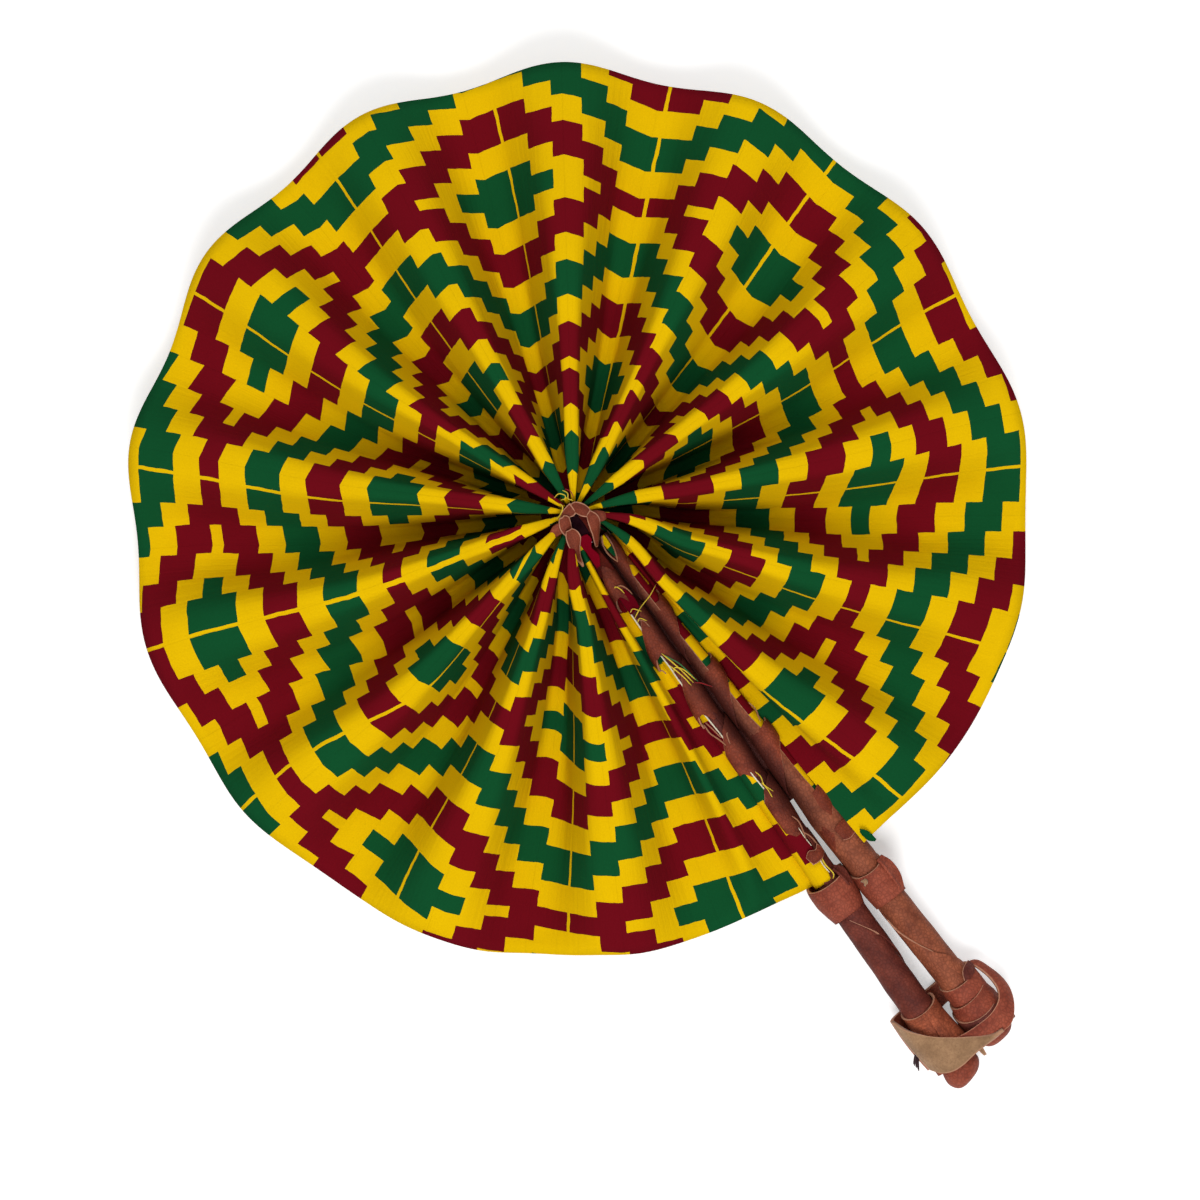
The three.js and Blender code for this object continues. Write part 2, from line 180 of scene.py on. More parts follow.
class Shader:
    """A material whose nodes are added one call at a time."""

    def __init__(self, name):
        self.material = bpy.data.materials.new(name)
        self.material.use_nodes = True
        self.nodes = self.material.node_tree.nodes
        self.links = self.material.node_tree.links
        self.surface = self.nodes["Principled BSDF"]

    def plug(self, socket, value):
        if isinstance(value, bpy.types.NodeSocket):
            self.links.new(value, socket)
        elif isinstance(value, (tuple, list)) and len(value) == 3 and len(socket.default_value) == 4:
            socket.default_value = linear(value)
        else:
            socket.default_value = value

    def node(self, kind, inputs=(), output=0, **settings):
        """A new node, its inputs given in order or by key. Returns one of its outputs."""
        node = self.nodes.new("ShaderNode" + kind)
        for name, value in settings.items():
            setattr(node, name, value)
        for key, value in inputs.items() if isinstance(inputs, dict) else enumerate(inputs):
            self.plug(node.inputs[key], value)
        return node.outputs[output]

    def math(self, operation, first, second=0.0, third=0.0):
        return self.node("Math", (first, second, third), operation=operation)

    def times(self, first, second):
        return self.math("MULTIPLY", first, second)

    def plus(self, first, second):
        return self.math("ADD", first, second)

    def mix(self, share, first, second, blend="MIX"):
        return self.node("Mix", {0: share, 6: first, 7: second}, 2, data_type="RGBA", blend_type=blend)

    def between(self, value, low, high, to_low=0.0, to_high=1.0):
        return self.node("MapRange", (value, low, high, to_low, to_high))

    def flat(self, layer):
        """The two coordinates of a UV layer, in millimetres."""
        place = self.node("UVMap", uv_map=layer)
        return [self.times(self.node("SeparateXYZ", (place,), i), UV_SPAN) for i in (0, 1)]

    def point(self, x, y, z=0.0):
        return self.node("CombineXYZ", (x, y, z))

    def place(self):
        """The place on the object, in millimetres."""
        place = self.node("TexCoord", output="Object")
        return self.node("VectorMath", {0: place, "Scale": 1 / MM}, operation="SCALE")

    def noise(self, vector, scale, detail=3.0, roughness=0.5):
        inputs = {"Vector": vector, "Scale": scale, "Detail": detail, "Roughness": roughness}
        return self.node("TexNoise", inputs)

    def edge_of_cells(self, vector, scale):
        inputs = {"Vector": vector, "Scale": scale}
        return self.node("TexVoronoi", inputs, feature="DISTANCE_TO_EDGE")

    def bump(self, height, distance, strength=1.0):
        inputs = {"Height": height, "Distance": distance * MM, "Strength": strength}
        self.plug(self.surface.inputs["Normal"], self.node("Bump", inputs))

    def finish(self, colour, roughness, sheen=0.0, specular=0.5):
        self.plug(self.surface.inputs["Base Color"], colour)
        self.plug(self.surface.inputs["Roughness"], roughness)
        self.plug(self.surface.inputs["Sheen Weight"], sheen)
        self.plug(self.surface.inputs["Specular IOR Level"], specular)
        return self.material


def printed_cloth():
    """Stepped lozenges in green, yellow and maroon, each colour two steps wide, on woven cotton."""
    shader = Shader("print_cloth")
    across, out = shader.flat("cloth")
    spot = shader.point(across, out)
    wobble = shader.math("SUBTRACT", shader.noise(spot, 0.22, 1.0), 0.5)
    u = shader.plus(across, shader.times(wobble, 0.7))
    v = shader.plus(out, shader.times(wobble, -0.6))
    slant = shader.math("MULTIPLY_ADD", across, PRINT_SLANT, PRINT_ROW_HEIGHT)
    column = shader.math("PINGPONG", shader.math("SUBTRACT", u, PRINT_START), PRINT_HALF_REPEAT)
    height = shader.math("PINGPONG", shader.math("SUBTRACT", v, slant), PRINT_ROW_SPACING)
    step = shader.math("DIVIDE", height, PRINT_STEP)
    for edge in PRINT_COLUMNS:
        step = shader.plus(step, shader.math("GREATER_THAN", column, edge))
    place = shader.math("MODULO", shader.plus(step, 0.5), PRINT_PAIR)
    above = shader.math("GREATER_THAN", place, PRINT_PAIR / 2 + PRINT_SPREAD)
    below = shader.math("LESS_THAN", place, PRINT_PAIR - PRINT_SPREAD)
    is_yellow = shader.times(above, below)
    colour_step = shader.math("MODULO", shader.plus(step, 0.5 + PRINT_SPREAD), 2 * PRINT_PAIR)
    is_maroon = shader.math("GREATER_THAN", colour_step, PRINT_PAIR - 0.1)
    edge_line = shader.math("LESS_THAN", column, PRINT_LINE)
    far_line = shader.math("GREATER_THAN", column, PRINT_HALF_REPEAT - PRINT_LINE)
    is_line = shader.math("MAXIMUM", edge_line, far_line)
    is_yellow = shader.math("MAXIMUM", is_yellow, is_line)
    dark = shader.mix(is_maroon, GREEN, MAROON)
    colour = shader.mix(is_yellow, dark, YELLOW)

    flecks = shader.between(shader.noise(spot, 1.9, 4.0, 0.75), 0.35, 0.7, 0.0, 0.16)
    colour = shader.mix(flecks, colour, (0.72, 0.55, 0.03), "MULTIPLY")
    clouds = shader.between(shader.noise(spot, 0.045, 3.0, 0.6), 0.3, 0.7, 0.0, 0.10)
    colour = shader.mix(clouds, colour, (0.55, 0.45, 0.2), "MULTIPLY")

    warp = shader.math("SINE", shader.times(across, 2 * math.pi / WARP_SPACING))
    weft = shader.math("SINE", shader.times(out, 2 * math.pi / WEFT_SPACING))
    weave = shader.times(warp, weft)
    slubs = shader.noise(shader.point(shader.times(across, 3.0), shader.times(out, 0.35)), 0.9)
    folds = shader.noise(shader.point(shader.times(across, 0.8), shader.times(out, 0.02)), 0.9)
    relief = shader.plus(shader.times(weave, 0.05), shader.times(slubs, 0.12))
    relief = shader.plus(relief, shader.times(folds, 0.9))
    shader.bump(relief, 0.30, 0.8)
    return shader.finish(colour, 0.95, specular=0.06)


def leather(name, dark, light, grain, pale_edge=0.20, streak=0.25, gloss=0.14):
    """Worn goat leather: cloudy colour, pebbled grain, pale raw cut edges, and painted shade from a UV
    layer.
    """
    shader = Shader(name)
    along, edge = shader.flat("hide")
    painted_shade = shader.flat("painted_shade")[0]
    place = shader.place()
    clouds = shader.noise(place, 0.16, 4.0, 0.6)
    streaks = shader.noise(shader.point(shader.times(along, 0.3), edge), streak, 3.0)
    tone = shader.plus(shader.times(clouds, 0.65), shader.times(streaks, 0.35))
    colour = shader.mix(shader.between(tone, 0.36, 0.64), dark, light)
    pebbles = shader.edge_of_cells(place, grain)
    creases = shader.between(pebbles, 0.0, 0.22, 1.0, 0.0)
    colour = shader.mix(shader.times(creases, 0.32), colour, CREASE)
    rough_line = shader.plus(edge, shader.times(shader.noise(place, 0.9), 0.25))
    cut = shader.between(rough_line, pale_edge, pale_edge + 0.16, 1.0, 0.0)
    colour = shader.mix(shader.times(cut, 0.8), colour, PALE_EDGE)
    # Painted shade: a UV layer darkens the leather towards a near-black brown.
    colour = shader.mix(shader.times(painted_shade, 0.85), colour, PAINTED_SHADE_COLOUR)
    fine = shader.noise(place, 2.6, 3.0, 0.7)
    domes = shader.between(pebbles, 0.0, 0.25, 0.0, 0.5)
    shader.bump(shader.plus(domes, shader.times(fine, 0.6)), 0.18, 0.9)
    return shader.finish(colour, shader.between(fine, 0.2, 0.8, 0.47, 0.67), specular=gloss)


def suede_leather():
    """The rough side of the leather, with a nap and a pale cut edge."""
    shader = Shader("suede")
    edge = shader.flat("hide")[1]
    place = shader.place()
    nap = shader.noise(place, 1.4, 4.0, 0.8)
    clouds = shader.between(shader.noise(place, 0.2, 3.0), 0.35, 0.65)
    colour = shader.mix(clouds, (0.555, 0.425, 0.305), (0.65, 0.505, 0.37))
    colour = shader.mix(shader.between(nap, 0.4, 0.75, 0.0, 0.6), colour, (0.42, 0.29, 0.20))
    colour = shader.mix(shader.between(edge, 0.2, 0.5, 0.5, 0.0), colour, PALE_EDGE)
    shader.bump(nap, 0.25, 0.8)
    return shader.finish(colour, 0.95, sheen=0.3, specular=0.15)


def thread_material(name, colour, gloss=0.2):
    """A fuzzy thread or a scrap of cloth in one colour."""
    shader = Shader(name)
    fuzz = shader.noise(shader.place(), 4.0, 2.0)
    shade = shader.between(fuzz, 0.3, 0.7, 0.0, 0.35)
    shade = shader.mix(shade, colour, (0.35, 0.3, 0.2), "MULTIPLY")
    shader.bump(fuzz, 0.05, 0.6)
    return shader.finish(shade, 0.9, sheen=gloss, specular=gloss)


def stick_wood():
    """Plain light wood."""
    shader = Shader("stick_wood")
    rings = shader.noise(shader.place(), 0.8, 4.0)
    colour = shader.mix(rings, (0.55, 0.40, 0.25), (0.72, 0.56, 0.37))
    shader.bump(rings, 0.1, 0.5)
    return shader.finish(colour, 0.7)


CLOTH = printed_cloth()
DARK_HIDE = leather("dark_leather", (0.32, 0.13, 0.11), (0.465, 0.215, 0.165), 0.85)
BROWN_HIDE = leather("brown_leather", (0.45, 0.225, 0.15), (0.63, 0.35, 0.24), 0.85)
RED_HIDE = leather("red_leather", (0.485, 0.21, 0.15), (0.63, 0.315, 0.23), 0.85)
STREAKED_HIDE = leather("streaked_leather", (0.43, 0.20, 0.13), (0.69, 0.36, 0.24), 1.0, streak=1.2)
# Near-black leather that paints the shade inside the ring's hole.
HOLE_SHADE_HIDE = leather("hole_shade_leather", (0.09, 0.02, 0.055), (0.14, 0.04, 0.08), 1.5, gloss=0.02)
BAND_HIDE = leather("band_leather", (0.34, 0.15, 0.13), (0.47, 0.23, 0.18), 1.4)
KNOT_HIDE = leather("knot_leather", (0.38, 0.16, 0.11), (0.52, 0.25, 0.18), 1.5, pale_edge=-1.0)
THONG_HIDE = leather("thong_leather", (0.39, 0.15, 0.095), (0.57, 0.26, 0.17), 1.0)
RING_HIDE = leather("ring_leather", (0.41, 0.17, 0.11), (0.58, 0.275, 0.185), 1.5, pale_edge=0.34)
# Darker leather with shade painted in, for the left lead and the turn under the ring.
SHADED_LEAD_HIDE = leather("shaded_lead_leather", (0.24, 0.055, 0.035), (0.38, 0.11, 0.07), 1.5, gloss=0.05)
SUEDE = suede_leather()
WOOD = stick_wood()
THREADS = {name: thread_material(f"{name}_thread", colour) for name, colour in THREAD_COLOURS.items()}
BITS = {name: thread_material(f"{name}_bit", colour, gloss=0.0) for name, colour in BIT_COLOURS.items()}


# Meshes


def add_piece(name, points, faces, material, body, layers=None, replaces=()):
    """A mesh from points in millimetres, riding on the left or right stick or on another body."""
    mesh = bpy.data.meshes.new(name)
    mesh.from_pydata((np.asarray(points, float) * MM).tolist(), [], faces)
    mesh.polygons.foreach_set("use_smooth", [True] * len(mesh.polygons))
    corners = np.zeros(len(mesh.loops), int)
    mesh.loops.foreach_get("vertex_index", corners)
    for layer, values in (layers or {}).items():
        coordinates = np.broadcast_to(values, (len(points), 2))[corners] / UV_SPAN
        mesh.uv_layers.new(name=layer).data.foreach_set("uv", coordinates.astype(np.float32).ravel())
    mesh.materials.append(material)
    mesh.update()
    piece = bpy.data.objects.new(name, mesh)
    bpy.context.scene.collection.objects.link(piece)
    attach(piece, BODIES.get(body, body))
    if replaces:
        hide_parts(*replaces)
    return piece


def grid_normals(grid):
    """Unit normals of a grid of points, from its neighbours."""
    along = np.gradient(grid, axis=0)
    across = np.gradient(grid, axis=1)
    normal = np.cross(across, along)
    return normal / np.maximum(np.linalg.norm(normal, axis=2, keepdims=True), 1e-9)


def slab(grid, thickness, looped=False):
    """A thin closed body round a grid of middle points: its points and faces."""
    if looped:
        padded = np.concatenate([grid[-2:-1], grid, grid[1:2]])
        normal = grid_normals(padded)[1:-1]
        grid, normal = grid[:-1], normal[:-1]
    else:
        normal = grid_normals(grid)
    rows, columns = grid.shape[:2]
    half = np.asarray(thickness) / 2
    points = np.concatenate([(grid + normal * half).reshape(-1, 3), (grid - normal * half).reshape(-1, 3)])
    below = rows * columns
    faces = []
    spans = rows if looped else rows - 1
    for i in range(spans):
        here, there = i * columns, ((i + 1) % rows) * columns
        for j in range(columns - 1):
            quad = (here + j, here + j + 1, there + j + 1, there + j)
            faces.append(quad)
            faces.append(tuple(below + k for k in reversed(quad)))
        faces.append((here, there, there + below, here + below))
        last = columns - 1
        faces.append((here + last + below, there + last + below, there + last, here + last))
    if not looped:
        end = (rows - 1) * columns
        for j in range(columns - 1):
            faces.append((j + 1, j, j + below, j + 1 + below))
            faces.append((end + j, end + j + 1, end + j + 1 + below, end + j + below))
    return points, faces


def add_sheet(name, grid, thickness, material, body, layers=None, replaces=(), slot=None, looped=False):
    """A thin piece round a grid of middle points. A UV layer is a grid too, or one number for all."""
    points, faces = slab(grid, thickness, looped)
    layers = {layer: np.concatenate([values.reshape(-1, 2)] * 2) if np.ndim(values) else values
              for layer, values in (layers or {}).items()}
    return add_piece(name, points, faces, material, body, layers, replaces)


def spline(points, count):
    """Points spaced evenly in parameter along a smooth curve through the given ones."""
    p = np.asarray(points, float)
    spans = len(p) - 1
    p = np.concatenate([2 * p[:1] - p[1:2], p, 2 * p[-1:] - p[-2:-1]])
    t = np.linspace(0, spans, count)
    i = np.minimum(t.astype(int), spans - 1)
    f = (t - i)[:, None]
    a, b, c, d = p[i], p[i + 1], p[i + 2], p[i + 3]
    square, cube = 2 * a - 5 * b + 4 * c - d, 3 * b - a - 3 * c + d
    return 0.5 * (2 * b + (c - a) * f + square * f**2 + cube * f**3)


def ribbon(first_edge, second_edge, count, columns, crown=0.0, pale=(True, True)):
    """A strip between two edge curves: its middle points and its hide coordinates, which are the
    distance along it and from the nearer of its pale edges."""
    a, b = spline(first_edge, count), spline(second_edge, count)
    share = eased(columns)
    grid = a[:, None] + (b - a)[:, None] * share[None, :, None]
    if crown:
        bulge = np.sin(math.pi * share)[None, :, None]
        grid = grid + grid_normals(grid) * crown * bulge
    width = np.linalg.norm(b - a, axis=1)
    steps = np.linalg.norm(np.diff((a + b) / 2, axis=0), axis=1)
    length = np.concatenate([[0], np.cumsum(steps)])
    shares = zip((share, 1 - share), pale)
    first, second = (part if shown else 0 * part + FAR_FROM_EDGE for part, shown in shares)
    edge = np.minimum(first, second)[None] * width[:, None]
    if all(pale):
        from_end = np.minimum(length, length[-1] - length)
        edge = np.minimum(edge, from_end[:, None])
    return grid, np.stack([np.broadcast_to(length[:, None], edge.shape), edge], axis=2)


def add_ribbon(name, first_edge, second_edge, thickness, material, body, replaces=(), slot=None, **shape):
    grid, flat = ribbon(first_edge, second_edge, **shape)
    return add_sheet(name, grid, thickness, material, body, {"hide": flat}, replaces, slot)


def tube_faces(rows, around):
    """The side faces of a tube whose points run round it, row by row."""
    faces = []
    for here in range(0, (rows - 1) * around, around):
        for j in range(around):
            k = (j + 1) % around
            faces.append((here + j, here + k, here + around + k, here + around + j))
    return faces


def thread(name, path, radius, colour, body, count=24):
    """A thin round thread through the given points."""
    line = spline(path, count)
    ahead = np.gradient(line, axis=0)
    ahead /= np.linalg.norm(ahead, axis=1, keepdims=True)
    side = np.cross(ahead, [0.13, 0.21, 1.0])
    side /= np.linalg.norm(side, axis=1, keepdims=True)
    other = np.cross(ahead, side)
    turn = np.linspace(0, 2 * math.pi, THREAD_SIDES + 1)[:-1]
    ring = side[:, None] * np.cos(turn)[None, :, None] + other[:, None] * np.sin(turn)[None, :, None]
    from_end = np.minimum(np.arange(count), np.arange(count)[::-1])
    taper = np.minimum(1.0, 0.45 + 4 * from_end / count)
    points = (line[:, None] + ring * (radius * taper)[:, None, None]).reshape(-1, 3)
    faces = tube_faces(count, THREAD_SIDES)
    faces.append(tuple(range(THREAD_SIDES))[::-1])
    faces.append(tuple((count - 1) * THREAD_SIDES + j for j in range(THREAD_SIDES)))
    return add_piece(name, points, faces, THREADS[colour], body)


# The sticks' lines


def axis_offset(distance):
    """How far a stick's axis lies from the middle line between the two."""
    return STICK_OFFSET + STICK_SPREAD * (distance - STICK_START)


CAP_CONTACT = LEFT_LENGTH - CAP_LENGTH / 2
STICK_SLOPE = (MIDDLE_HEIGHT - CAP_RADIUS) / (CAP_CONTACT - STICK_START)


def axis_height(distance):
    """The height of the sticks' axes, which slope down to the caps."""
    return MIDDLE_HEIGHT - STICK_SLOPE * np.maximum(np.asarray(distance, float) - STICK_START, 0)


def bound_radius(distance):
    """The radius of a stick with its lacing."""
    share = (np.asarray(distance, float) - STICK_START) / (RIM_RADIUS - STICK_START)
    return mix(BOUND_RADIUS_START, BOUND_RADIUS_RIM, share)


def inner_stretch(distance):
    """Along the cloth the leather is pressed out to the middle line between the sticks."""
    distance = np.asarray(distance, float)
    reach = (axis_offset(distance) - MIDDLE_CLEARANCE) / (bound_radius(distance) + THONG_BULGE)
    return mix(1.0, reach, smoothstep((116 - distance) / 20))


def round_point(side, distance, angle, radius):
    """A point round a stick. The angle is 0 on its outer side, 90 in front and 180 towards the other
    stick."""
    turn = np.radians(angle)
    across = radius * np.cos(turn)
    across = np.where(across < 0, across * inner_stretch(distance), across)
    x = side * (axis_offset(distance) + across)
    z = axis_height(distance) + radius * np.sin(turn)
    return np.stack(np.broadcast_arrays(x, -np.asarray(distance, float), z), axis=-1)


def pair_point(x, distance, z):
    """A point beside the pair of sticks: x across, the distance along them, z above their axes."""
    return (x, -distance, float(axis_height(distance)) + z)


# The pleats

CROWDING_REACH = 20.0
STICK_GAP = 0.3
WANDER = 0.55
# Nearer the middle than this, the folds run straight in.
STRAIGHT_REACH = 8.0
# How far each fold strays from the even spacing inside the rim, in degrees.
FOLD_DRIFT = (
    0, 1.0, 0.3, 1.6, 2.2, 2.4, 3.0, 2.6, 2.2, 2.4, 1.8, 2.2, 2.2, 1.8,
    0.6, 0, 0, 0, -0.8, -2.0, -1.8, -2.4, -1.2, -1.4, -1.8, -2.0, -2.5, 0)
# How far the folds beside the sticks stray near the middle, in degrees.
CENTRE_DRIFT = {1: -2.5, 2: -5.5, 3: -4.5, 4: -2.5, 21: 1.5, 22: 3.0, 23: 5.0, 24: 7.0, 25: 9.5, 26: 8.0}


def stick_angle(radius):
    """The compass angle of the bound sticks' outer side."""
    reach = axis_offset(radius) + bound_radius(radius) + STICK_GAP
    return np.degrees(np.arcsin(np.minimum(reach / radius, 1)))


def fold_angle(fold, radius):
    """Where a fold lies at each radius: evenly spaced at the rim, and crowded beside the sticks."""
    radius = np.maximum(radius, STRAIGHT_REACH)
    rim_hem = stick_angle(RIM_RADIUS)
    at_rim = 360 - rim_hem - FOLD_STEP * fold
    crowding = stick_angle(radius) - rim_hem
    from_left, from_right = 360 - rim_hem - at_rim, at_rim - rim_hem
    push = crowding * (math.exp(-from_right / CROWDING_REACH) - math.exp(-from_left / CROWDING_REACH))
    wander = WANDER * ripple(fold * 3.7, 0, 1.0, 4.2) * (1 - smoothstep(radius / RIM_RADIUS))
    drift = FOLD_DRIFT[fold] * (1 - smoothstep((radius - 60) / 60))
    centre_drift = CENTRE_DRIFT.get(fold, 0) * (1 - smoothstep((radius - 12) / 22))
    return at_rim + push + wander + drift + centre_drift


def is_ridge(fold):
    return (PANELS - fold) % 2 == 1


FOLD_STEP = (360 - float(stick_angle(RIM_RADIUS)) - FIRST_FOLD) / (PANELS - 1)
PANEL_WIDTH = CLOTH_FULLNESS * RIM_RADIUS * math.radians(FOLD_STEP)
RADII = INNER_RADIUS + (RIM_RADIUS - INNER_RADIUS) * np.linspace(0, 1, CLOTH_ROWS) ** 1.15
PANEL_SHARES = eased(CLOTH_COLUMNS)
# How finely the section of a panel is worked out, and in how many halvings its slope and knee.
SECTION_STEPS = 240
SLOPE_ROUNDS = 26
KNEE_ROUNDS = 24
KNEE_SOFTNESS = 0.9
# The bends and level parts of a section take up no more than this share of its width.
BEND_SHARE = 0.92


def pleat(width, cloth, bend, start_flat, end_flat, rise=None):
    """The section of one panel at each radius, as x and z from its start. The cloth lies level at its
    folds, turns over the bend, and runs straight between them. With a rise it also has one knee, up
    first and then down, which takes up the slack."""
    s = np.linspace(0, 1, SECTION_STEPS + 1)[None] * cloth
    squeeze = np.minimum(1, BEND_SHARE * width / (start_flat + end_flat + bend))[:, None]
    start_flat, end_flat, bend = (part[:, None] * squeeze for part in (start_flat, end_flat, bend))
    shape = smoothstep((s - start_flat) / bend) * smoothstep((cloth - s - end_flat) / bend)
    step = cloth / SECTION_STEPS
    none, all_cloth = np.zeros(len(width)), np.full(len(width), float(cloth))

    def run(part):
        return np.concatenate([none[:, None], np.cumsum(part, axis=1)], axis=1) * step

    def integrate(slope, knee):
        turn = np.tanh((knee[:, None] - s) / KNEE_SOFTNESS) if rise is not None else 1.0
        angle = slope[:, None] * shape * turn
        middle = (angle[:, 1:] + angle[:, :-1]) / 2
        return run(np.cos(middle)), run(np.sin(middle))

    def fitted(knee):
        """The section that spans the width, by halving the slope's range."""
        low, high = none, np.full(len(width), math.pi / 2)
        for _ in range(SLOPE_ROUNDS):
            slope = (low + high) / 2
            too_wide = integrate(slope, knee)[0][:, -1] > width
            low, high = np.where(too_wide, slope, low), np.where(too_wide, high, slope)
        return integrate(slope, knee)

    if rise is None:
        x, z = fitted(all_cloth)
    else:
        low, high = none, all_cloth
        for _ in range(KNEE_ROUNDS):
            knee = (low + high) / 2
            x, z = fitted(knee)
            too_high = z[:, -1] > rise
            low, high = np.where(too_high, low, knee), np.where(too_high, knee, high)
    x *= (width / x[:, -1])[:, None]
    places = PANEL_SHARES * SECTION_STEPS
    return [np.stack([np.interp(places, range(SECTION_STEPS + 1), row) for row in rows]) for rows in (x, z)]


def bends(radius):
    """How softly the folds turn: crisp near the ring, in long waves at the rim."""
    share = smoothstep((radius - 30) / (RIM_RADIUS - 30))
    return mix(CREST_BEND, RIM_BEND, share), mix(CREST_FLAT, 0.1, share)


def regular_rise():
    """How far a fold rises above the next one at each radius, where the cloth isn't crowded."""
    bend, flat = bends(RADII)
    room = (180 - stick_angle(RADII)) / (180 - stick_angle(RIM_RADIUS))
    width = RADII * math.radians(FOLD_STEP) * room
    gathered = mix(0.60, 1.0, smoothstep((RADII - INNER_RADIUS) / 11))
    return pleat(width, PANEL_WIDTH, bend, flat, flat)[1][:, -1] * gathered


FOLD_RISE = regular_rise()
HEM_ANGLE = -15.0
HEM_FLAT = 1.7


def hem_radius(distance):
    """The hem's cloth lies on the sleeve and under the thong."""
    return bound_radius(distance) - 0.4


def hem_points(side, radius):
    """Where the end panel leaves its stick's outer side."""
    return round_point(side, radius, HEM_ANGLE, hem_radius(radius))


def fold_height(fold):
    """The height of a fold at each radius."""
    if fold in (0, PANELS):
        return hem_points(1, RADII)[:, 2]
    return MIDDLE_HEIGHT + (0.5 if is_ridge(fold) else -0.5) * FOLD_RISE


def fold_place(fold):
    """The compass angle of a fold at each radius."""
    if fold in (0, PANELS):
        radius = np.maximum(RADII, STRAIGHT_REACH)
        x = np.abs(hem_points(1, radius)[:, 0])
        angle = np.degrees(np.arcsin(np.minimum(x / radius, 1)))
        return 360 - angle if fold == 0 else angle
    return fold_angle(fold, RADII)


def rim_dip(angle):
    """How far the rim is drawn in at a valley: most opposite the sticks."""
    return 2.7 - 1.2 * np.cos(angle) - 0.7 * smoothstep((np.degrees(angle) - 225) / 20)


def rim_radius(angle, valley):
    """The rim: drawn in at each valley, and uneven at a few places."""
    compass = np.degrees(angle)
    bulge = sum(out * np.exp(-(((compass - middle) / width) ** 2)) for middle, width, out in RIM_BULGES)
    return RIM_RADIUS + RIM_SWELL - RIM_SHIFT * np.cos(angle) + bulge - rim_dip(angle) * valley


def print_shift(angle, reach, valley):
    """How far the print is dragged along the strip and outwards: at the valleys and a few places."""
    compass = np.degrees(angle)
    pull = mix(0.4, PRINT_PULL, smoothstep((compass - 70) / 35)) * rim_dip(angle) * (valley - 0.5)
    along, outward = 0.0, pull * smoothstep(reach / 25)
    for middle, spread, radius, depth, shift, lift, tilt in PRINT_DRAGS:
        near = np.exp(-(((compass - middle) / spread) ** 2) - ((reach - radius) / depth) ** 2)
        along = along + shift * near
        outward = outward + (lift + tilt * (compass - middle)) * near
    return along, outward


def cloth_start(panel):
    """How much of the strip of cloth lies between the right hem and a panel."""
    return 0.0 if panel == PANELS else LAST_PANEL_WIDTH + PANEL_WIDTH * (PANELS - 1 - panel)


def panel_grid(panel):
    """The middle surface of a panel and the flat cloth coordinates of its points."""
    start, end = fold_place(panel - 1), fold_place(panel)
    first_valley, last_valley = (0 if is_ridge(fold) else 1 for fold in (panel - 1, panel))
    width = RADII * np.radians(start - end)
    bend, flat = bends(RADII)
    z_start, z_end = fold_height(panel - 1), fold_height(panel)
    hem_flat = np.full(CLOTH_ROWS, HEM_FLAT)
    if panel == 1:
        x, z = pleat(width, PANEL_WIDTH, bend, hem_flat, flat, rise=z_end - z_start)
        cloth = PANEL_WIDTH
    elif panel == PANELS:
        x, z = pleat(width, LAST_PANEL_WIDTH, bend, flat, hem_flat, rise=z_start - z_end)
        z = -z
        cloth = LAST_PANEL_WIDTH
    else:
        x, z = pleat(width, PANEL_WIDTH, bend, flat, flat)
        z = z * ((z_end - z_start) / z[:, -1])[:, None]
        cloth = PANEL_WIDTH
    angle = np.radians(start[:, None]) - x / RADII[:, None]
    valley = mix(first_valley, last_valley, smoothstep(x / width[:, None]))
    share = ((RADII - INNER_RADIUS) / (RIM_RADIUS - INNER_RADIUS))[:, None]
    rim = rim_radius(angle, valley)
    reach = mix(INNER_RADIUS, rim, share)
    shift_x, shift_y = (part * (1 - share) for part in CENTRE_SHIFT)
    if panel in (1, PANELS):
        from_hem = PANEL_SHARES if panel == 1 else 1 - PANEL_SHARES
        shift_x, shift_y = (shift * smoothstep(from_hem * 2)[None] for shift in (shift_x, shift_y))
    across, along = reach * np.sin(angle) + shift_x, -reach * np.cos(angle) + shift_y
    near_valley = mix(first_valley, last_valley, x / width[:, None])
    slide, pull = print_shift(angle, reach, near_valley)
    u = cloth_start(panel) + cloth * (1 - PANEL_SHARES)[None] + slide
    v = np.hypot(across, along) + pull
    sag = np.array([[ripple(p, q, 16.0, 2.0) + 0.5 * ripple(p, q, 6.0, 7.0) for p, q in zip(a, b)]
                    for a, b in zip(u, v)])
    height = z_start[:, None] + z + 0.45 * sag * smoothstep(share * 1.6)
    return np.stack([across, along, height], axis=2), np.stack([u, v], axis=2)


def add_panel(panel):
    """A face of the pleated strip as a thin sheet."""
    grid, flat = panel_grid(panel)
    body = f"panel_{panel:02d}"
    piece = add_sheet(f"pleat_{panel:02d}", grid, CLOTH_THICKNESS, CLOTH, body, {"cloth": flat},
                      replaces=[f"cloth_{body}"], slot="print_cloth")
    return piece


def flatten_panel(piece):
    """Gives a panel its own copy of its mesh."""
    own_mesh(piece)


# Camera, light and floor

SKY_STRENGTH = 0.40
FLOOR_GLOW = 0.36
# Half the floor's width and its height, in metres.
FLOOR_SIZE = 3.0
FLOOR_HEIGHT = -0.0002


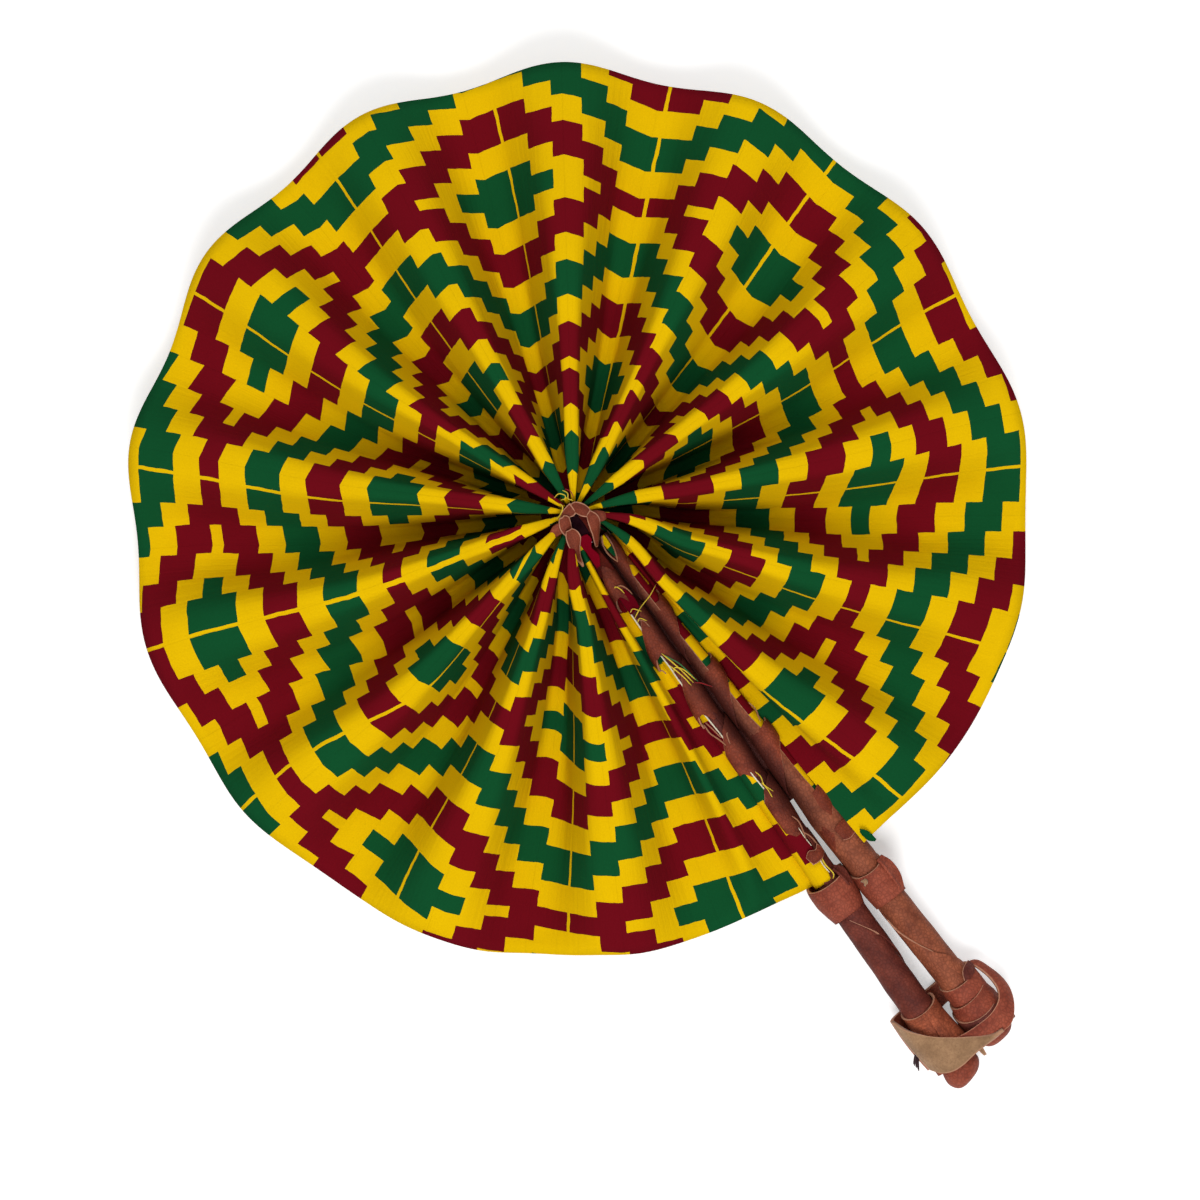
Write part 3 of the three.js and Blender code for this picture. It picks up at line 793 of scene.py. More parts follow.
def add_camera():
    """A camera straight above, turned and shifted as the photograph was."""
    camera = bpy.data.objects.new("camera", bpy.data.cameras.new("camera"))
    bpy.context.scene.collection.objects.link(camera)
    turn = math.radians(-PHOTO_TURN)
    right = Vector((math.cos(turn), math.sin(turn), 0))
    up = Vector((-math.sin(turn), math.cos(turn), 0))
    shift_right = (PHOTO_SIZE / 2 - PHOTO_CENTRE[0]) / PHOTO_SCALE
    shift_down = (PHOTO_SIZE / 2 - PHOTO_CENTRE[1]) / PHOTO_SCALE
    place = right * shift_right - up * shift_down
    place.z = MIDDLE_HEIGHT + CAMERA_HEIGHT
    camera.location = place * MM
    camera.rotation_euler = (0, 0, turn)
    camera.data.sensor_width = SENSOR
    camera.data.lens = SENSOR * PHOTO_SCALE * CAMERA_HEIGHT / PHOTO_SIZE
    bpy.context.scene.camera = camera


def add_light(name, place, size, power):
    lamp = bpy.data.lights.new(name, "AREA")
    lamp.shape = "DISK"
    lamp.size = size
    lamp.energy = power
    light = bpy.data.objects.new(name, lamp)
    light.location = place
    light.rotation_euler = (-Vector(place)).to_track_quat("-Z", "Y").to_euler()
    bpy.context.scene.collection.objects.link(light)


def add_studio():
    """Even daylight with two large soft lamps, and the floor."""
    world = bpy.data.worlds.new("studio")
    world.use_nodes = True
    background = world.node_tree.nodes["Background"].inputs
    background["Color"].default_value = (1, 1, 1, 1)
    background["Strength"].default_value = SKY_STRENGTH
    bpy.context.scene.world = world
    add_light("key_light", (-0.5, -0.8, 1.5), size=0.9, power=19)
    add_light("fill_light", (0.6, 0.9, 1.5), size=1.1, power=10)
    add_floor()


def add_floor():
    """A white floor that shines a little towards the camera, as the cut-out background does."""
    shader = Shader("floor")
    tint = shader.noise(shader.place(), 0.01, 2.0)
    colour = shader.mix(tint, (0.965, 0.965, 0.965), (0.975, 0.975, 0.975))
    shader.finish(colour, 0.9, specular=0.1)
    shader.plug(shader.surface.inputs["Emission Color"], (1.0, 1.0, 1.0))
    seen = shader.node("LightPath", output="Is Camera Ray")
    shader.plug(shader.surface.inputs["Emission Strength"], shader.times(seen, FLOOR_GLOW))
    size = FLOOR_SIZE
    mesh = bpy.data.meshes.new("floor")
    corners = [(-size, -size, 0), (size, -size, 0), (size, size, 0), (-size, size, 0)]
    mesh.from_pydata(corners, [], [(0, 1, 2, 3)])
    mesh.materials.append(shader.material)
    floor = bpy.data.objects.new("floor", mesh)
    floor.location.z = FLOOR_HEIGHT
    bpy.context.scene.collection.objects.link(floor)


add_camera()
add_studio()
bpy.context.scene.view_settings.view_transform = "Standard"

for number in range(1, PANELS + 1):
    flatten_panel(add_panel(number))

# Leather

ROLL_COLUMNS = 56
# How far round its stick a rolled sheet goes, in degrees.
ROLL_TURN = 390.0
WORN = 2.0
NO_PALE = (False, False)


def edge_distance(grid):
    """How far each point of a grid is along the sheet and from the sheet's nearest edge."""
    across = np.linalg.norm(np.diff(grid, axis=1), axis=2)
    along = np.linalg.norm(np.diff(grid, axis=0), axis=2)
    across = np.concatenate([np.zeros((grid.shape[0], 1)), np.cumsum(across, axis=1)], axis=1)
    along = np.concatenate([np.zeros((1, grid.shape[1])), np.cumsum(along, axis=0)], axis=0)
    sides = np.minimum(across, across[:, -1:] - across)
    ends = np.minimum(along, along[-1:] - along)
    return along, np.minimum(sides, ends)


def add_hide(name, grid, thickness, material, body, worn=0, painted_shade=None, **links):
    """A closed piece of leather round a grid of middle points. Where it is worn by more than 0, its cut
    edge is as dark as the rest; painted shade of 1 makes it nearly black."""
    along, edge = edge_distance(grid)
    layers = {"hide": np.stack([along, edge + worn], axis=2)}
    if painted_shade is not None:
        layers["painted_shade"] = np.stack([painted_shade, painted_shade], axis=2)
    return add_sheet(name, grid, thickness, material, body, layers, **links)


def painted_inner_shade(grid):
    """Painted shade on the leather where the sticks face each other, and darker towards the middle."""
    distance = -grid[..., 1]
    inward = 1 - np.abs(grid[..., 0]) / axis_offset(distance)
    between = smoothstep(0.32 + inward) * smoothstep((122 - distance) / 22)
    return np.maximum(between, 0.32 * smoothstep((75 - distance) / 50))


def lumps_round(distance, angle, wide, deep, scale, seed):
    """Smooth noise on a stick that joins up where the angle comes round again."""
    turn = [math.radians(a) for a in angle]
    across = [wide * math.cos(a) + deep * math.sin(a) for a in turn]
    return np.array([ripple(d, x, scale, seed) for d, x in zip(distance, across)])


def rolled(side, start, end, seam, radius, thickness, rows, lumps=0.18):
    """A grid for a sheet of leather rolled round a stick. Its start and end distances depend on the
    angle round the stick, its seam angle and its radius on the distance along it."""
    share = np.linspace(0, 1, ROLL_COLUMNS) ** 1.25
    grid = np.zeros((rows, ROLL_COLUMNS, 3))
    for i, part in enumerate(np.linspace(0, 1, rows)):
        middle = mix(start(90), end(90), part)
        angle = seam(middle) + share * ROLL_TURN
        distance = mix(start(angle), end(angle), part)
        bumps = lumps_round(distance, angle, 14, 9, 7, side * 5)
        size = radius(distance) + thickness * (1 - share) + lumps * bumps
        grid[i] = round_point(side, distance, angle, size)
    return grid


def worn_outside(grid, *stretches):
    """How worn a sheet's edges are: not at all between the given distances along the stick."""
    distance = -grid[..., 1]
    fresh = sum(smoothstep(distance - low) * smoothstep(high - distance) for low, high in stretches)
    return WORN * (1 - fresh)


def level(distance, dip=0, slope=0):
    """An end of a rolled sheet: square to the stick, or dipping at the front and sloping by so much."""

    def end(angle):
        turn = np.radians(angle)
        return distance + dip * np.maximum(np.sin(turn), -0.4) - slope * np.cos(turn)

    return end


# The angle of each sleeve's seam round its stick, the sleeve's radius, and where its edge is fresh.
SLEEVE_SEAM = {
    LEFT: points_between(
        (8, 150), (15, 112), (24, 118), (28, 130), (34, 92), (46, 76), (52, 110), (57, 136), (62, 100),
        (77, 112), (88, 95), (98, 120), (110, 130), (116, 130), (128, 70), (141, 70), (150, 133),
        (157, 180), (176, 300)),
    RIGHT: points_between(
        (8, 152), (17, 125), (22, 91), (57, 91), (66, 74), (76, 74), (88, 57), (108, 57), (121, -20),
        (143, -160), (148, -180), (153, -210), (164, -278), (171, -360), (180, -370)),
}
SLEEVE_SIZE = {
    LEFT: points_between((8, 1.5), (20, 1.6), (116, 3.2), (127, 3.4), (132, 4.2), (150, 4.15), (180, 4.25)),
    RIGHT: points_between(
        (8, 1.5), (20, 1.6), (100, 3), (112, 4.2), (128, 4.3), (134, 4), (155, 4), (170, 4.2), (180, 4.5)),
}
SLEEVE_FRESH = {LEFT: [(140, 151)], RIGHT: [(9, 109), (147, 164)]}
SLEEVE_START, SLEEVE_END = 8, 179
SLEEVE_HIDES = {LEFT: (DARK_HIDE, "dark_leather"), RIGHT: (BROWN_HIDE, "brown_leather")}


def add_sleeve(side):
    """The thin leather covering of a stick."""
    name = NAMES[side]
    material, slot = SLEEVE_HIDES[side]
    start, end = level(SLEEVE_START), level(SLEEVE_END)
    grid = rolled(side, start, end, SLEEVE_SEAM[side], SLEEVE_SIZE[side], 0.6, rows=150)
    worn = worn_outside(grid, *SLEEVE_FRESH[side])
    # The sleeve gets painted shade where the sticks face each other and towards the middle.
    add_hide(f"{name}_sleeve_hide", grid, 0.6, material, side, worn=worn, painted_shade=painted_inner_shade(grid),
             replaces=[f"{name}_leather_sleeve"], slot=slot)


# The hems: how far they go round their sticks, in degrees, and where they and their print end.
HEM_TURN = 192.0
HEM_START, HEM_END = 9, 128.2
HEM_PRINT_END = 122.6
# How far the right hem's print is pulled outwards along the stick's inner half.
RIGHT_HEM_SHIFT = 10.0
# The angle round each stick where the hem's cut edge lies.
HEM_EDGE = {
    LEFT: points_between(
        (20, 34), (40, 38), (50, 55), (61, 56), (75, 75), (92, 90), (110, 116), (124, 118), (128, 104)),
    RIGHT: points_between((9, 160), (20, 110), (60, 104), (68, 90), (90, 75), (124, 70)),
}


def hem_strip(side):
    """The hem of the cloth, wrapped round the outer side of a stick, up to its cut edge in front."""
    distance = np.linspace(HEM_START, HEM_END, 120)[:, None]
    angle = HEM_EDGE[side](distance) - HEM_TURN * (1 - np.linspace(0, 1, 36)[None, :])
    radius = hem_radius(distance) + 0 * angle
    grid = round_point(side, distance, angle, radius)
    arc = np.radians(angle - HEM_ANGLE) * radius
    u = cloth_start(0) + arc if side == LEFT else -arc
    shift = RIGHT_HEM_SHIFT * (1 - smoothstep((distance - 62) / 20)) if side == RIGHT else 0.0
    v = np.minimum(np.hypot(distance, grid[..., 0]), HEM_PRINT_END) - shift
    return grid, np.stack([u, v], axis=2)


def add_hems():
    for side in (LEFT, RIGHT):
        grid, flat = hem_strip(side)
        piece = add_sheet(f"{NAMES[side]}_hem", grid, CLOTH_THICKNESS, CLOTH, side, {"cloth": flat},
                          slot="print_cloth")
    edge = HEM_EDGE[LEFT]
    line = [round_point(LEFT, d, edge(d) + 2.5 * ripple(d, 0, 4, 1), hem_radius(d) + 0.2)
            for d in range(21, 118, 3)]
    thread("left_hem_cut", line, 0.24, "white", LEFT, count=120)


# Where the lacing thong crosses each stick's outer side, and how far it reaches up and down from its
# middle line at each of the angles round the stick.
LOBES = {LEFT: (26.2, 47, 67.7, 88.7, 109.7), RIGHT: (12, 34.3, 58, 82, 106)}
LOBE_ANGLES = (0, 33, 60, 90, 130, 180, 270, 320, 360)
REACH_UP = {LEFT: (2.5, 4.3, 6.8, 8.6, 8.6, 7, 5, 3.5, 2.5),
            RIGHT: (3, 4.6, 5.2, 7, 10, 9, 5, 4, 3)}
REACH_DOWN = {LEFT: (2.6, 1.6, 3, 8, 10, 8, 5, 3.5, 2.6),
              RIGHT: (2.5, 2.2, 2.8, 4.4, 7, 7, 5, 3.5, 2.5)}
# How far the lobes stand out at the sticks' outer sides, and up to which angle the left one's last
# turns run under the cloth.
LOBE_BULGE = {LEFT: points_between((26, 1.3), (47, 1.4), (68, 0.1)),
              RIGHT: points_between((20, -0.2), (60, -0.1), (82, 0.1), (106, 0.5))}
UNDER_CLOTH = points_between((60, -30), (89, 48), (110, 72))
UNDER_DEPTH = 1.5
# At which angles round the stick each edge of the thong is still pale.
PALE_UP = {LEFT: (-30, 95), RIGHT: (-30, 45)}
PALE_DOWN = {LEFT: (-40, 48), RIGHT: (-40, 112)}
# How much more than whole turns the thong goes, and its points for each turn and across.
LACE_OVERRUN = 0.42
LACE_ROWS = 60
LACE_COLUMNS = 15


def worn_edge(angle, span):
    signed = np.mod(angle + 180, 360) - 180
    fresh = smoothstep((signed - span[0]) / 12) * smoothstep((span[1] - signed) / 12)
    return WORN * (1 - fresh)[:, None]


def add_lacing(side):
    """The flat thong whipped round a stick: a lobe on the cloth at each turn, wider over the front."""
    lobes = LOBES[side]
    turns = np.linspace(-LACE_OVERRUN, len(lobes) - 1 + LACE_OVERRUN, LACE_ROWS * len(lobes))
    before, after = 2 * lobes[0] - lobes[1], 2 * lobes[-1] - lobes[-2]
    middle = spline([[d, 0, 0] for d in (before, *lobes, after)], len(lobes) * 100 + 101)[:, 0]
    middle = np.interp(turns, np.linspace(-1, len(lobes), len(middle)), middle)
    angle = side * 360 * turns
    around = np.mod(angle, 360)
    up = np.interp(around, LOBE_ANGLES, REACH_UP[side])
    down = np.interp(around, LOBE_ANGLES, REACH_DOWN[side])
    share = eased(LACE_COLUMNS)[None, :]
    wave = np.array([0.5 * ripple(a / 40, side, 1, 6) for a in angle])[:, None]
    distance = (middle - up)[:, None] + (up + down)[:, None] * share + wave
    signed = np.abs(np.mod(angle + 180, 360) - 180)
    outward = np.maximum(np.cos(np.radians(angle)), 0) ** 1.5 * LOBE_BULGE[side](middle)
    if side == LEFT:
        outward = outward - UNDER_DEPTH * smoothstep((UNDER_CLOTH(middle) - signed) / 12)
    tucked = share if side == LEFT else 1 - share
    inward = smoothstep((signed - 50) / 40)[:, None]
    raised = 0.3 * np.sin(math.pi * share)
    size = bound_radius(distance) + 0.15 + outward[:, None] + raised - 0.7 * tucked * inward
    grid = round_point(side, distance, angle[:, None] * np.ones_like(share), size)
    worn = np.where(share < 0.5, worn_edge(angle, PALE_UP[side]), worn_edge(angle, PALE_DOWN[side]))
    # The thong gets painted shade where the sticks face each other and towards the middle.
    add_hide(f"{NAMES[side]}_thong", grid, THONG_THICKNESS, THONG_HIDE, side, worn=worn,
             painted_shade=painted_inner_shade(grid), replaces=[f"{NAMES[side]}_whip_lacing"], slot="red_leather")


def beside_sticks(places):
    """Points from x, the distance along the pair of sticks and the height above their axes."""
    return [pair_point(*place) for place in places]


def on_disc(places):
    """Points from x, the distance from the centre towards the stick ends and the height."""
    return [(x, -distance, z) for x, distance, z in places]


def on_sticks(places, lift=0.3):
    """Points laid on the front of the bound sticks."""
    laid = []
    for x, distance in places:
        radius = float(bound_radius(distance)) + 0.6
        away = min(abs(abs(x) - float(axis_offset(distance))), 0.9 * radius)
        laid.append(pair_point(x, distance, math.sqrt(radius**2 - away**2) + lift))
    return laid


def over_pair(places, lift=0.9, radius=6.6, overhang=8.6):
    """Points on a strap laid over both sticks: level between their crests, then down their outer
    sides."""
    laid = []
    for x, distance in places:
        beyond = max(abs(x) - float(axis_offset(distance)), 0)
        height = radius * math.sqrt(max(1 - (beyond / overhang) ** 2, 0))
        laid.append(pair_point(x, distance, height + lift))
    return laid


# The edges of the collars' flaps and knob, and of the dark tip of the right stick's band.
LEFT_FLAP = ([(-2.4, 126, 4.6), (-1.8, 128.6, 5.6), (-1.4, 132.6, 5.2)],
             [(-1.3, 125.3, 3.4), (0.5, 128.2, 2.8), (-0.3, 132.8, 3.4)])
RIGHT_FLAP = ([(9.6, 131.8, 4.9), (9.9, 134.5, 5.2), (9.8, 138.5, 5), (9.8, 142.5, 4.4)],
              [(11.4, 131.4, 2.6), (12.6, 134.6, 2), (12.6, 138.8, 2), (11.2, 142.8, 2.6)])
KNOB = ([(1.9, 134, 4.6), (2.4, 134.8, 5), (2, 135.8, 4.6)],
        [(3.2, 133.9, 5.2), (3.4, 134.8, 5.6), (3.1, 135.7, 5.2)])
BAND_TIP = ([(8.7, 175.4, 5.6), (9.6, 173.2, 5.6), (11, 172, 4.6), (13, 171.4, 2)],
            [(10.4, 175.9, 5.4), (11.6, 175.4, 4.8), (12.7, 174.9, 3.6), (13.4, 174.2, 1.6)])


def add_collars():
    """The wrapped bands just outside the rim, with two flaps and a knob."""
    size = points_between((126, 5.6), (129, 6.1), (133, 6.15), (137, 5.4), (140, 4.5))
    grid = rolled(LEFT, level(127.2, 2), level(139.8), lambda d: 200, size, 0.7, rows=24, lumps=0.25)
    add_hide("left_collar_hide", grid + [-0.3, 0, 0], 0.8, RED_HIDE, LEFT,
             worn=worn_outside(grid, (120, 134)), replaces=["left_rim_collar"], slot="red_leather")
    size = points_between((131, 4.5), (134, 4.9), (137, 5.1), (140, 4.9), (144, 4.4))
    grid = rolled(RIGHT, level(131.2, 2.3), level(143.6), lambda d: 20, size, 0.7, rows=24, lumps=0.35)
    add_hide("right_collar_hide", grid + [0.2, 0, 0], 0.8, RED_HIDE, RIGHT,
             worn=worn_outside(grid, (120, 138)), replaces=["right_rim_collar"], slot="red_leather")
    add_ribbon("left_collar_flap", *map(beside_sticks, LEFT_FLAP), 0.7, DARK_HIDE, LEFT,
               count=20, columns=7, crown=0.4, pale=NO_PALE, slot="dark_leather")
    add_ribbon("right_collar_flap", *map(beside_sticks, RIGHT_FLAP), 0.8, RED_HIDE, RIGHT,
               count=24, columns=9, crown=0.5, pale=NO_PALE, slot="red_leather")
    add_ribbon("right_collar_knob", *map(beside_sticks, KNOB), 0.7, SUEDE, RIGHT,
               count=16, columns=7, crown=0.3, pale=NO_PALE, slot="suede")


# The turns of the band on the right stick end: start, end, radius at the start, how much wider it
# gets, how far its edge dips in front and slopes, and its leather.
BANDS = (
    (173.4, 181.5, 5.1, 0.1, 2.4, 0, RED_HIDE),
    (178.8, 187.5, 5.3, 0.9, 2.4, 0.7, RED_HIDE),
    (182.8, 193, 6.3, 0.2, 3.9, 0, BAND_HIDE),
)


def add_wraps():
    """The thong windings on the left stick end, and on the right one a band with its dark tip folded
    over the top edge."""
    size = points_between((172, 4.9), (178, 5), (183, 5.4), (187, 6.2), (190, 6.2))
    start, end = level(173.4, 2.4), level(193.5)
    grid = rolled(LEFT, start, end, lambda d: 96 - 0.4 * (d - 176), size, 0.8, rows=36, lumps=0.2)
    add_hide("left_wrap_hide", grid, 0.8, STREAKED_HIDE, LEFT, worn=worn_outside(grid, (160, 177)),
             replaces=["left_anchor_wrap"], slot="red_leather")
    for number, (start, end, size, flare, dip, slope, hide) in enumerate(BANDS):
        radius = points_between((start, size), (start + 4, size + flare), (end, size + flare))
        start, end = level(start, dip, slope), level(end)
        grid = rolled(RIGHT, start, end, lambda d: 10, radius, 0.7, rows=20, lumps=0.15)
        add_hide(f"right_band_{number + 1}", grid + [0.5 - 0.4 * number, 0, 0], 0.75, hide, RIGHT,
                 slot="red_leather", replaces=["right_wound_band"] if number == 0 else ())
    add_ribbon("right_band_tip", *map(beside_sticks, BAND_TIP), 0.6, DARK_HIDE, RIGHT,
               count=24, columns=9, crown=0.3, pale=(True, False), slot="dark_leather")


# The stick ends: how much of one stays at its start's radius, and its rows and points round.
CAP_REACH = 14.0
CAP_SHOULDER = 0.4
CAP_ROWS = 34
CAP_AROUND = 48


def add_cap(side, end, centre_shift, tilt):
    """A rounded stick end, slightly lopsided."""
    start = end - CAP_REACH
    part = np.linspace(0, 1, CAP_ROWS)[:, None]
    angle = np.linspace(0, 360, CAP_AROUND + 1)[None, :]
    rounding = np.clip((part - CAP_SHOULDER) / (1 - CAP_SHOULDER), 0, 1) * math.pi / 2
    half = CAP_REACH / 2
    straight, curved = half * np.minimum(part / CAP_SHOULDER, 1), (end - start - half) * np.sin(rounding)
    distance = start + straight + curved + 0 * angle
    narrowed = mix(0.78, 1, smoothstep((part - 0.3) / 0.35))
    size = CAP_RADIUS * np.maximum(np.cos(rounding), 0.0001) ** 0.62 * narrowed
    lumps = np.array([lumps_round(row, angle[0], 10, 7, 6, side * 2) for row in distance])
    distance = distance + tilt * np.cos(np.radians(angle)) * part**2 * size / CAP_RADIUS
    grid = round_point(side, distance, angle + 0 * part, size + 0.3 * lumps * (1 - part**4))
    grid[..., 0] += centre_shift
    grid[..., 2] = np.maximum(grid[..., 2], CAP_FLOOR + 0.02 * grid[..., 2])
    faces = tube_faces(CAP_ROWS, CAP_AROUND)
    faces.append(tuple(range(CAP_AROUND)))
    faces.append(tuple((CAP_ROWS - 1) * CAP_AROUND + j for j in range(CAP_AROUND))[::-1])
    along = distance[:, :-1] - start
    hide = np.stack([along, np.full(along.shape, FAR_FROM_EDGE)], axis=2).reshape(-1, 2)
    add_piece(f"{NAMES[side]}_cap_hide", grid[:, :-1].reshape(-1, 3), faces, RED_HIDE, side,
              {"hide": hide}, replaces=[f"{NAMES[side]}_end_cap"])


# The strap's two edges, round the right stick and behind both, and those of the flap and the tab.
STRAP_LOOP = (
    [(-6, 186.5, 6.5), (-1, 187.6, 6.6), (4, 187.9, 6.9), (9, 187.6, 7), (13, 185.9, 6.4), (14.9, 183.2, 5),
     (15.2, 180, 3.6), (14.6, 176.5, 2.2), (13.2, 173.2, 0.4), (11, 171.4, -3.6), (6, 171.2, -5.8),
     (0, 171.5, -6), (-6, 171.7, -6), (-11.5, 171.9, -4.4), (-14.4, 172, -1.4), (-15.3, 172.2, 1.4)],
    [(-4, 192.3, 6.4), (2, 193.4, 6.5), (7.5, 193.6, 6.6), (12.2, 193.3, 5.8), (15.6, 190, 4.2),
     (17.5, 186, 2.6), (17.8, 182, 1.2), (16.8, 177.6, 0), (14.8, 173.4, -2), (11.6, 176.6, -5.4),
     (6, 178, -6.2),
     (0, 178.3, -6.3), (-6, 180, -6.3), (-11.8, 184, -5.2), (-14.6, 188.5, -2.2), (-15, 190.4, 0.6)],
)
STRAP_FLAP = (
    [(-15.3, 172.3), (-13.6, 176.5), (-11, 180), (-7.8, 183.4), (-3.6, 186.8), (0, 189.3), (3, 191.4),
     (6.2, 193), (9, 193.3)],
    [(-14.6, 190.3), (-12.4, 193), (-9.4, 194.4), (-6, 194.6), (-3, 194.2), (0, 193.9), (3, 193.8),
     (6.4, 193.7), (9.2, 193.45)],
)
STRAP_TAB = (
    [(0, 193, 5.4), (-0.1, 194.6, 4.6), (0.2, 196.3, 3.8)],
    [(1.3, 193, 5.4), (1.3, 194.8, 4.6), (1.1, 196.5, 3.8)],
)


def add_strap():
    """The suede strap: a wide flap over the left stick, then its grain side round the right one and
    behind both."""
    add_ribbon("strap_loop", *map(beside_sticks, STRAP_LOOP), 1.1, RED_HIDE, LEFT, count=110,
               columns=15, crown=0.5, replaces=["closing_strap"], slot="suede")
    add_ribbon("strap_flap", *map(over_pair, STRAP_FLAP), 1, SUEDE, LEFT, count=60, columns=21,
               crown=0.7, slot="suede")
    add_ribbon("strap_tab", *map(beside_sticks, STRAP_TAB), 0.8, SUEDE, LEFT, count=14, columns=7)


# The wound thong's and its lining's profile as radius and height, their middle and their length.
MIDDLE = {
    "middle_thong": (((3, 4.2), (3, 14), (3, 24.6), (2.2, 25.8), (1, 26.1), (0.02, 26.2)),
                     (-0.5, 0.4), 1.5, DARK_HIDE),
    # The lining's near-black leather is painted shade inside the ring's hole.
    "middle_lining": (((2, 4.2), (2, 14), (2, 24), (2.4, 26.4), (2.8, 27.8), (2.2, 27.5), (1.2, 27),
                       (0.02, 26.8)),
                      (-1.2, -1.8), 1.3, HOLE_SHADE_HIDE),
}
# A dark strip for the shade between the sticks: its half-width, where it starts and ends, and how far it
# lies below the axes.
SHADE_STRIP_HALF_WIDTH = 1.1
SHADE_STRIP_START, SHADE_STRIP_END = 4.8, 103
SHADE_STRIP_DEPTH = 1.6


def add_core():
    """The thong wound through the middle, which the ring sits on, and a dark strip for the shade between the
    sticks.
    """
    turns = np.linspace(0, 2 * math.pi, 33)[:, None]
    for name, (profile, centre, length, material) in MIDDLE.items():
        width, heights = np.array(profile).T
        x, y = centre[0] + width * np.sin(turns), centre[1] - length * width * np.cos(turns)
        grid = np.stack([x, y, heights + 0 * turns], axis=2)
        add_sheet(name, grid, 0.3, material, LEFT, {"hide": FAR_FROM_EDGE}, slot="dark_leather", looped=True)
    across = np.array([-SHADE_STRIP_HALF_WIDTH, 0, SHADE_STRIP_HALF_WIDTH])[:, None]
    far = np.linspace(SHADE_STRIP_START, SHADE_STRIP_END, 42) + 0 * across
    grid = np.stack([across * mix(1, 1.4, far / SHADE_STRIP_END), -far, axis_height(far) - SHADE_STRIP_DEPTH], axis=2)
    # The strip gets painted shade too, which makes it nearly black.
    layers = {"hide": FAR_FROM_EDGE, "painted_shade": 0.8}
    add_sheet("left_shade_strip", grid, 0.5, DARK_HIDE, LEFT, layers, slot="dark_leather")


# Loose threads by colour, radius, stick and points: x and the distance along the sticks.
LOOSE_THREADS = (
    ("yellow", 0.16, LEFT, ((-4.2, 22.8), (-3.6, 22.4), (-2.9, 23.6), (-2.6, 25.5))),
    ("tan", 0.20, LEFT, ((-3.2, 22.6), (-2, 23.2), (-1.2, 25), (-0.9, 27))),
    ("yellow", 0.16, LEFT, ((-4.8, 33.2), (-2.4, 32), (0, 31.2), (3, 30.4), (6.3, 28.9))),
    ("yellow", 0.15, LEFT, ((-4.6, 31), (-3.4, 30.6), (-1.8, 32.6))),
    ("yellow", 0.15, LEFT, ((-4.7, 34.6), (-3.4, 34), (-2.2, 35.8))),
    ("tan", 0.15, LEFT, ((-4.4, 33.8), (-3, 35.2), (-2.6, 37.6))),
    ("yellow", 0.20, LEFT, ((-4.5, 46), (-3.6, 49.6), (-2.8, 53.6), (-2.2, 58.3))),
    ("yellow", 0.18, LEFT, ((-5, 52.5), (-3.8, 51.6), (-2.2, 53.6), (-1.2, 58))),
    ("yellow", 0.18, LEFT, ((-4.8, 50), (-4, 53), (-3.4, 56), (-3.2, 58.6))),
    ("green", 0.16, LEFT, ((-4.6, 46), (-3.2, 49), (-2, 52), (-0.9, 58.8))),
    ("red", 0.16, LEFT, ((-2, 58.5), (-0.6, 59.6), (0.4, 61), (1.5, 62.5))),
    ("tan", 0.18, LEFT, ((-7.8, 49.5), (-7.2, 50.4), (-7, 51.6))),
    ("tan", 0.22, LEFT, ((-7.1, 70), (-7.2, 73), (-6.2, 76), (-5.6, 78.6))),
    ("tan", 0.20, LEFT, ((-6.4, 69.6), (-5.8, 73), (-5.4, 76))),
    ("tan", 0.20, LEFT, ((-3, 75.8), (-3.6, 76.4), (-4.4, 79))),
    ("yellow", 0.16, LEFT, ((-3.4, 89.8), (-3, 92), (-3.6, 94.4), (-2.6, 97.6))),
    ("yellow", 0.16, LEFT, ((-3.9, 93.5), (-3.6, 96), (-3.9, 98.8))),
    ("tan", 0.20, LEFT, ((-2.6, 106.6), (-2, 109), (-2.6, 112), (-3.4, 114.6))),
    ("tan", 0.20, LEFT, ((-3, 112), (-1.9, 114.5), (-1.6, 117.5))),
    ("yellow", 0.20, LEFT, ((-3, 121.5), (-3.3, 124), (-3, 127.2), (-4, 128.4))),
    ("white", 0.16, LEFT, ((-3.5, 120.8), (-3.9, 123.4), (-3.7, 126.4))),
    ("tan", 0.24, RIGHT, ((2.2, 8), (0.9, 10.5), (0.5, 13.5), (1.3, 17))),
    ("tan", 0.22, RIGHT, ((3.3, 8.5), (3.2, 11.5), (2.4, 14.6), (1.3, 17))),
    ("tan", 0.18, RIGHT, ((7.2, 72.5), (7.6, 75.6), (6.6, 79))),
    ("tan", 0.18, RIGHT, ((9.4, 103.5), (9, 107), (9.2, 110.8))),
)
RING_THREADS = (
    ("ring_thread_loop", "yellow", 0.15,
     ((-2.3, -8.8, 28.5), (-0.6, -9, 29), (0.6, -7.6, 29.2), (0, -6.8, 29.2), (-1.2, -7.2, 29))),
    ("ring_thread_left", "yellow", 0.18,
     ((-2, -6.5, 29), (-1.9, -5.3, 29.4), (-3.5, -4, 29.2), (-5.5, -3.5, 28.4))),
    ("ring_thread_right", "yellow", 0.15,
     ((0.9, -9.2, 28.6), (1.6, -7.6, 29), (0.8, -6.2, 29.4), (1.6, -5, 29.6))),
    ("ring_thread_red", "red", 0.13, ((1.8, -9, 28.6), (2.6, -7.4, 28.8), (2.2, -5.4, 29.4))),
)
TUFT = ((-14.6, 184, 1), (-16, 185.4, 1.4), (-17.8, 187.6, 1.2))
TUFT_THREADS = 9


